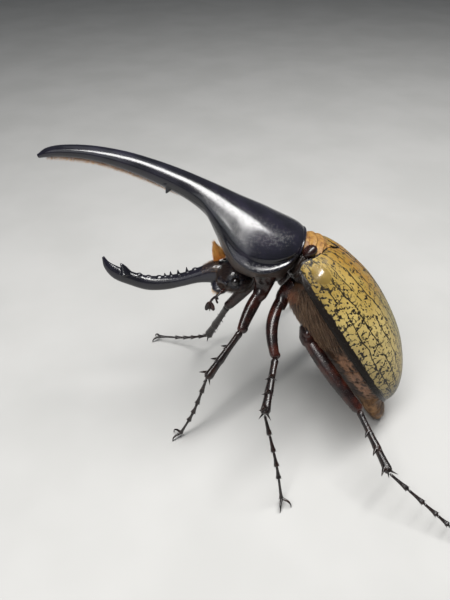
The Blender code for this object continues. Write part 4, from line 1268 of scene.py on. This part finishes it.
def leg(pair, side, side_name):
    """One leg from hip to claws; gives back what its bristles follow."""
    frame_name, spot, radii = HIPS[pair]
    body = FORE if frame_name == "fore" else HIND
    turn = body.to_3x3()
    radii = Vector(radii)
    coxa_at = FLOOR.inverted() @ (body @ vec(spot[0], side * spot[1], spot[2]))
    knee, ankle, toe = (Vector(point) for point in LEG_JOINTS[f"{pair}_{side_name}"])
    name = f"leg_{pair}_{side_name}"
    thigh = (knee - coxa_at).normalized()
    local = turn.transposed() @ thigh
    reach = 1 / sqrt(sum((local[k] / radii[k]) ** 2 for k in range(3)))
    hip(name, pair, coxa_at, radii, turn, thigh, reach)

    start = coxa_at + thigh * (reach - 2.0)
    out = thigh.cross((ankle - knee).normalized()).normalized()
    bow = thigh.cross(out) * -1.0
    radius = FEMUR_RADIUS[pair]
    sway = bow * 0.6 + Vector(FEMUR_BOW.get(f"{pair}_{side_name}", (0.0, 0.0, 0.0)))
    shapes = [tube(*limb(start, knee, THIGH_ROWS, radius, 54, sway), 36, out, 0.85),
              ball(knee - thigh * 0.9 - bow * 0.1, vec(1.0, 0.82, 1.0) * (radius * 0.78))]
    dress(fused(f"{name}_thigh", shapes, FLOOR, LIMB, 0.2, 4), [f"{name}_femur"])

    way = (ankle - knee).normalized()
    outer = way.cross(out).normalized()
    if outer.dot(bow) < 0:
        outer = -outer
    shin(name, TIBIA_RADIUS[pair], knee + way * 0.1, ankle, way, out, outer)
    foot(name, ankle, way, toe)
    return start, knee, ankle, out, outer, bow, sway, radius


def shin(name, radius, begin, ankle, way, out, outer):
    """A shin with three sets of teeth and a pair of spurs at its end."""
    length = (ankle - begin).length
    shapes = [tube(*limb(begin, ankle, SHIN_ROWS, radius, 60), 28, out, 0.8)]
    for share, size in SHIN_TEETH:
        root = begin + way * (length * share)
        tip = root + outer * (radius + size) + way * (size * 0.9)
        shapes.append(cone(root + outer * 0.3, tip, 0.78, 12, way * -0.25))
        for turn_side, _ in SIDES:
            root_low = root + way * 0.3
            tip_low = root_low + out * (turn_side * (radius + 0.7)) + outer * 0.5 + way * 1.0
            shapes.append(cone(root_low, tip_low, 0.42, 10))
    for turn_side, _ in SIDES:
        tip = ankle + way * 1.7 - outer * 1.2 + out * (turn_side * 2.1)
        shapes.append(cone(ankle - way * 1.0, tip, 0.52, 10))
    dress(fused(f"{name}_shin", shapes, FLOOR, CLAW, 0.15, 3), [f"{name}_tibia"])


def foot(name, ankle, way, toe):
    """Five joints, each flared at its far end, and two hooked claws that stand on the floor."""
    heel = toe + UP * HEEL_HEIGHT
    start = ankle + way * 0.3
    middle = start.lerp(heel, 0.5) + way * (heel - start).length * 0.06 + TARSUS_BOW
    rows = [(k, *knot) for k, knot in enumerate((start, middle, heel))]

    def along_at(t):
        return Vector(sample(rows, 2 * t))

    shapes = []
    for begin, end in zip(FOOT_ENDS, FOOT_ENDS[1:]):
        profile = LAST_FOOT_ROWS if end == 1.0 else FOOT_ROWS
        path, radii = [], []
        for share in spread(0.0, 1.0, 18):
            path.append(along_at(begin + (end - begin) * (0.02 + 0.98 * share)))
            radii.append(TARSUS_RADIUS * sample(profile, share)[0] * 1.05)
        shapes.append(tube(path, radii, 14, vec(0, 1, 0.1)))
        before = along_at(end - 0.03)
        axis = (along_at(end) - before).normalized()
        side = axis.orthogonal().normalized()
        for angle in turns(6):
            spoke = Matrix.Rotation(angle, 3, axis) @ side
            shapes.append(cone(before + spoke * 0.3, before + spoke * 1.05 + axis * 1.0, 0.15, 6))
    last = along_at(1.0)
    along = (last - along_at(0.95)).normalized()
    side = along.cross(UP)
    side = side.normalized() if side.length > 0.2 else SIDE
    flat = vec(along.x, along.y, 0)
    flat = flat.normalized() if flat.length > 0.1 else vec(1, 0, 0)
    root = last - along * 0.5
    claw_radii = [0.46 - 0.34 * (k / 21) ** 1.2 for k in range(22)]
    for turn, _ in SIDES:
        knots = (root, root + flat * 1.6 + side * (turn * 1.2) - UP * 0.1,
                 root + flat * 2.6 + side * (turn * 1.8) - UP * 0.9,
                 vec(root.x, root.y, CLAW_HEIGHT) + flat * 2.9 + side * (turn * 2.0))
        shapes.append(tube(curve_points(knots, 22), claw_radii, 12, side))
    piece = build(f"{name}_foot", joined(shapes), FLOOR, CLAW)
    for vert in piece.data.vertices:
        vert.co.z = max(vert.co.z, 0.0)
    dress(piece, [f"{name}_tarsus"])


def leg_hair(legs):
    """Rows of bristles along the thighs and shins."""
    guides = []
    for index, (start, knee, ankle, out, outer, bow, sway, radius) in enumerate(legs):
        for turn, _ in SIDES:
            def thigh_row(s, t):
                share = 0.15 + 0.75 * s
                centre = start.lerp(knee, share) + sway * sin(pi * share)
                point = centre + (bow * -0.7 + out * turn * (0.2 + 0.35 * t)) * radius
                return point, (knee - start).normalized() * 0.6 - bow, 0.6, 0.7

            def shin_row(s, t):
                point = knee.lerp(ankle, 0.1 + 0.85 * s) + outer * (-0.4 + 0.8 * t) + out * turn * 0.75
                return point, (ankle - knee).normalized() + out * turn * 0.3, 1.0, 0.8

            guides.append(guide(f"thigh_{index}_{turn}", FLOOR, thigh_row, 12, 3))
            guides.append(guide(f"shin_{index}_{turn}", FLOOR, shin_row, 12, 3))
    coat("leg_bristles", guides, BROWN_HAIR, 4.0, 1.5, 0.1, 0.5, 0.3, 0.4, 51)


# Floor, lights and camera.
def stage():
    finish = Finish("pale_floor")
    shade = finish.place().noise(0.02, 3.0).mask(0.3, 0.7)
    finish.set("Base Color", shade.mix((0.37, 0.368, 0.36), (0.4, 0.397, 0.39)))
    finish.set("Roughness", 0.75)
    corners = [(x * FLOOR_REACH, y * FLOOR_REACH, 0) for x, y in ((-1, -1), (1, -1), (1, 1), (-1, 1))]
    mesh = bpy.data.meshes.new("studio_floor")
    mesh.from_pydata(corners, [], [(0, 1, 2, 3)])
    mesh.materials.append(finish.material)
    add_object("studio_floor", mesh)


def softbox(name, place, turn, size, power, color):
    """A rectangular light; its turn is in degrees."""
    lamp = bpy.data.lights.new(name, "AREA")
    lamp.shape = "RECTANGLE"
    lamp.size, lamp.size_y = size
    lamp.energy = power
    lamp.color = color
    obj = add_object(name, lamp)
    obj.location = place
    obj.rotation_euler = [radians(angle) for angle in turn]


def lights():
    """A long strip from the shoulder side to the horn draws the streak on the shield and horn."""
    softbox("key", (-0.03, -0.1, 0.5), (0, 0, 45), (0.85, 0.11), 6.6, (1.0, 0.99, 0.97))
    softbox("sky", (-0.1, 0.1, 0.85), (0, 0, 0), (0.7, 0.7), 0.9, (0.9, 0.95, 1.0))
    softbox("front", (-0.45, -0.5, 0.35), (65, 0, -42), (0.4, 0.4), 0.6, (0.95, 0.97, 1.0))
    world = bpy.data.worlds.new("studio")
    world.use_nodes = True
    background = world.node_tree.nodes["Background"].inputs
    background["Color"].default_value = (0.78, 0.84, 0.9, 1.0)
    background["Strength"].default_value = 0.1
    bpy.context.scene.world = world
    bpy.context.scene.view_settings.view_transform = "Standard"


def camera():
    """The photograph's view: a short way off, looking down on the beetle's left side."""
    lens = bpy.data.cameras.new("camera")
    lens.sensor_width = 36.0
    lens.lens = 32.4
    lens.clip_start = 0.005
    obj = add_object("camera", lens)
    obj.location = (FLOOR @ CAMERA_AT) * MM
    obj.rotation_euler = (radians(90 - CAMERA_TILT), 0, 0)
    bpy.context.scene.camera = obj


camera()
stage()
lights()
shield()
horn_fringe()
head_and_horn()
eyes()
feelers()
mouth()
face_hair()
for case_side, case_name in SIDES:
    wing_case(case_side, case_name)
scutellum()
chest()
belly()
waist()
belly_hair()
leg_hair([leg(pair, side, name) for pair in HIPS for side, name in SIDES])
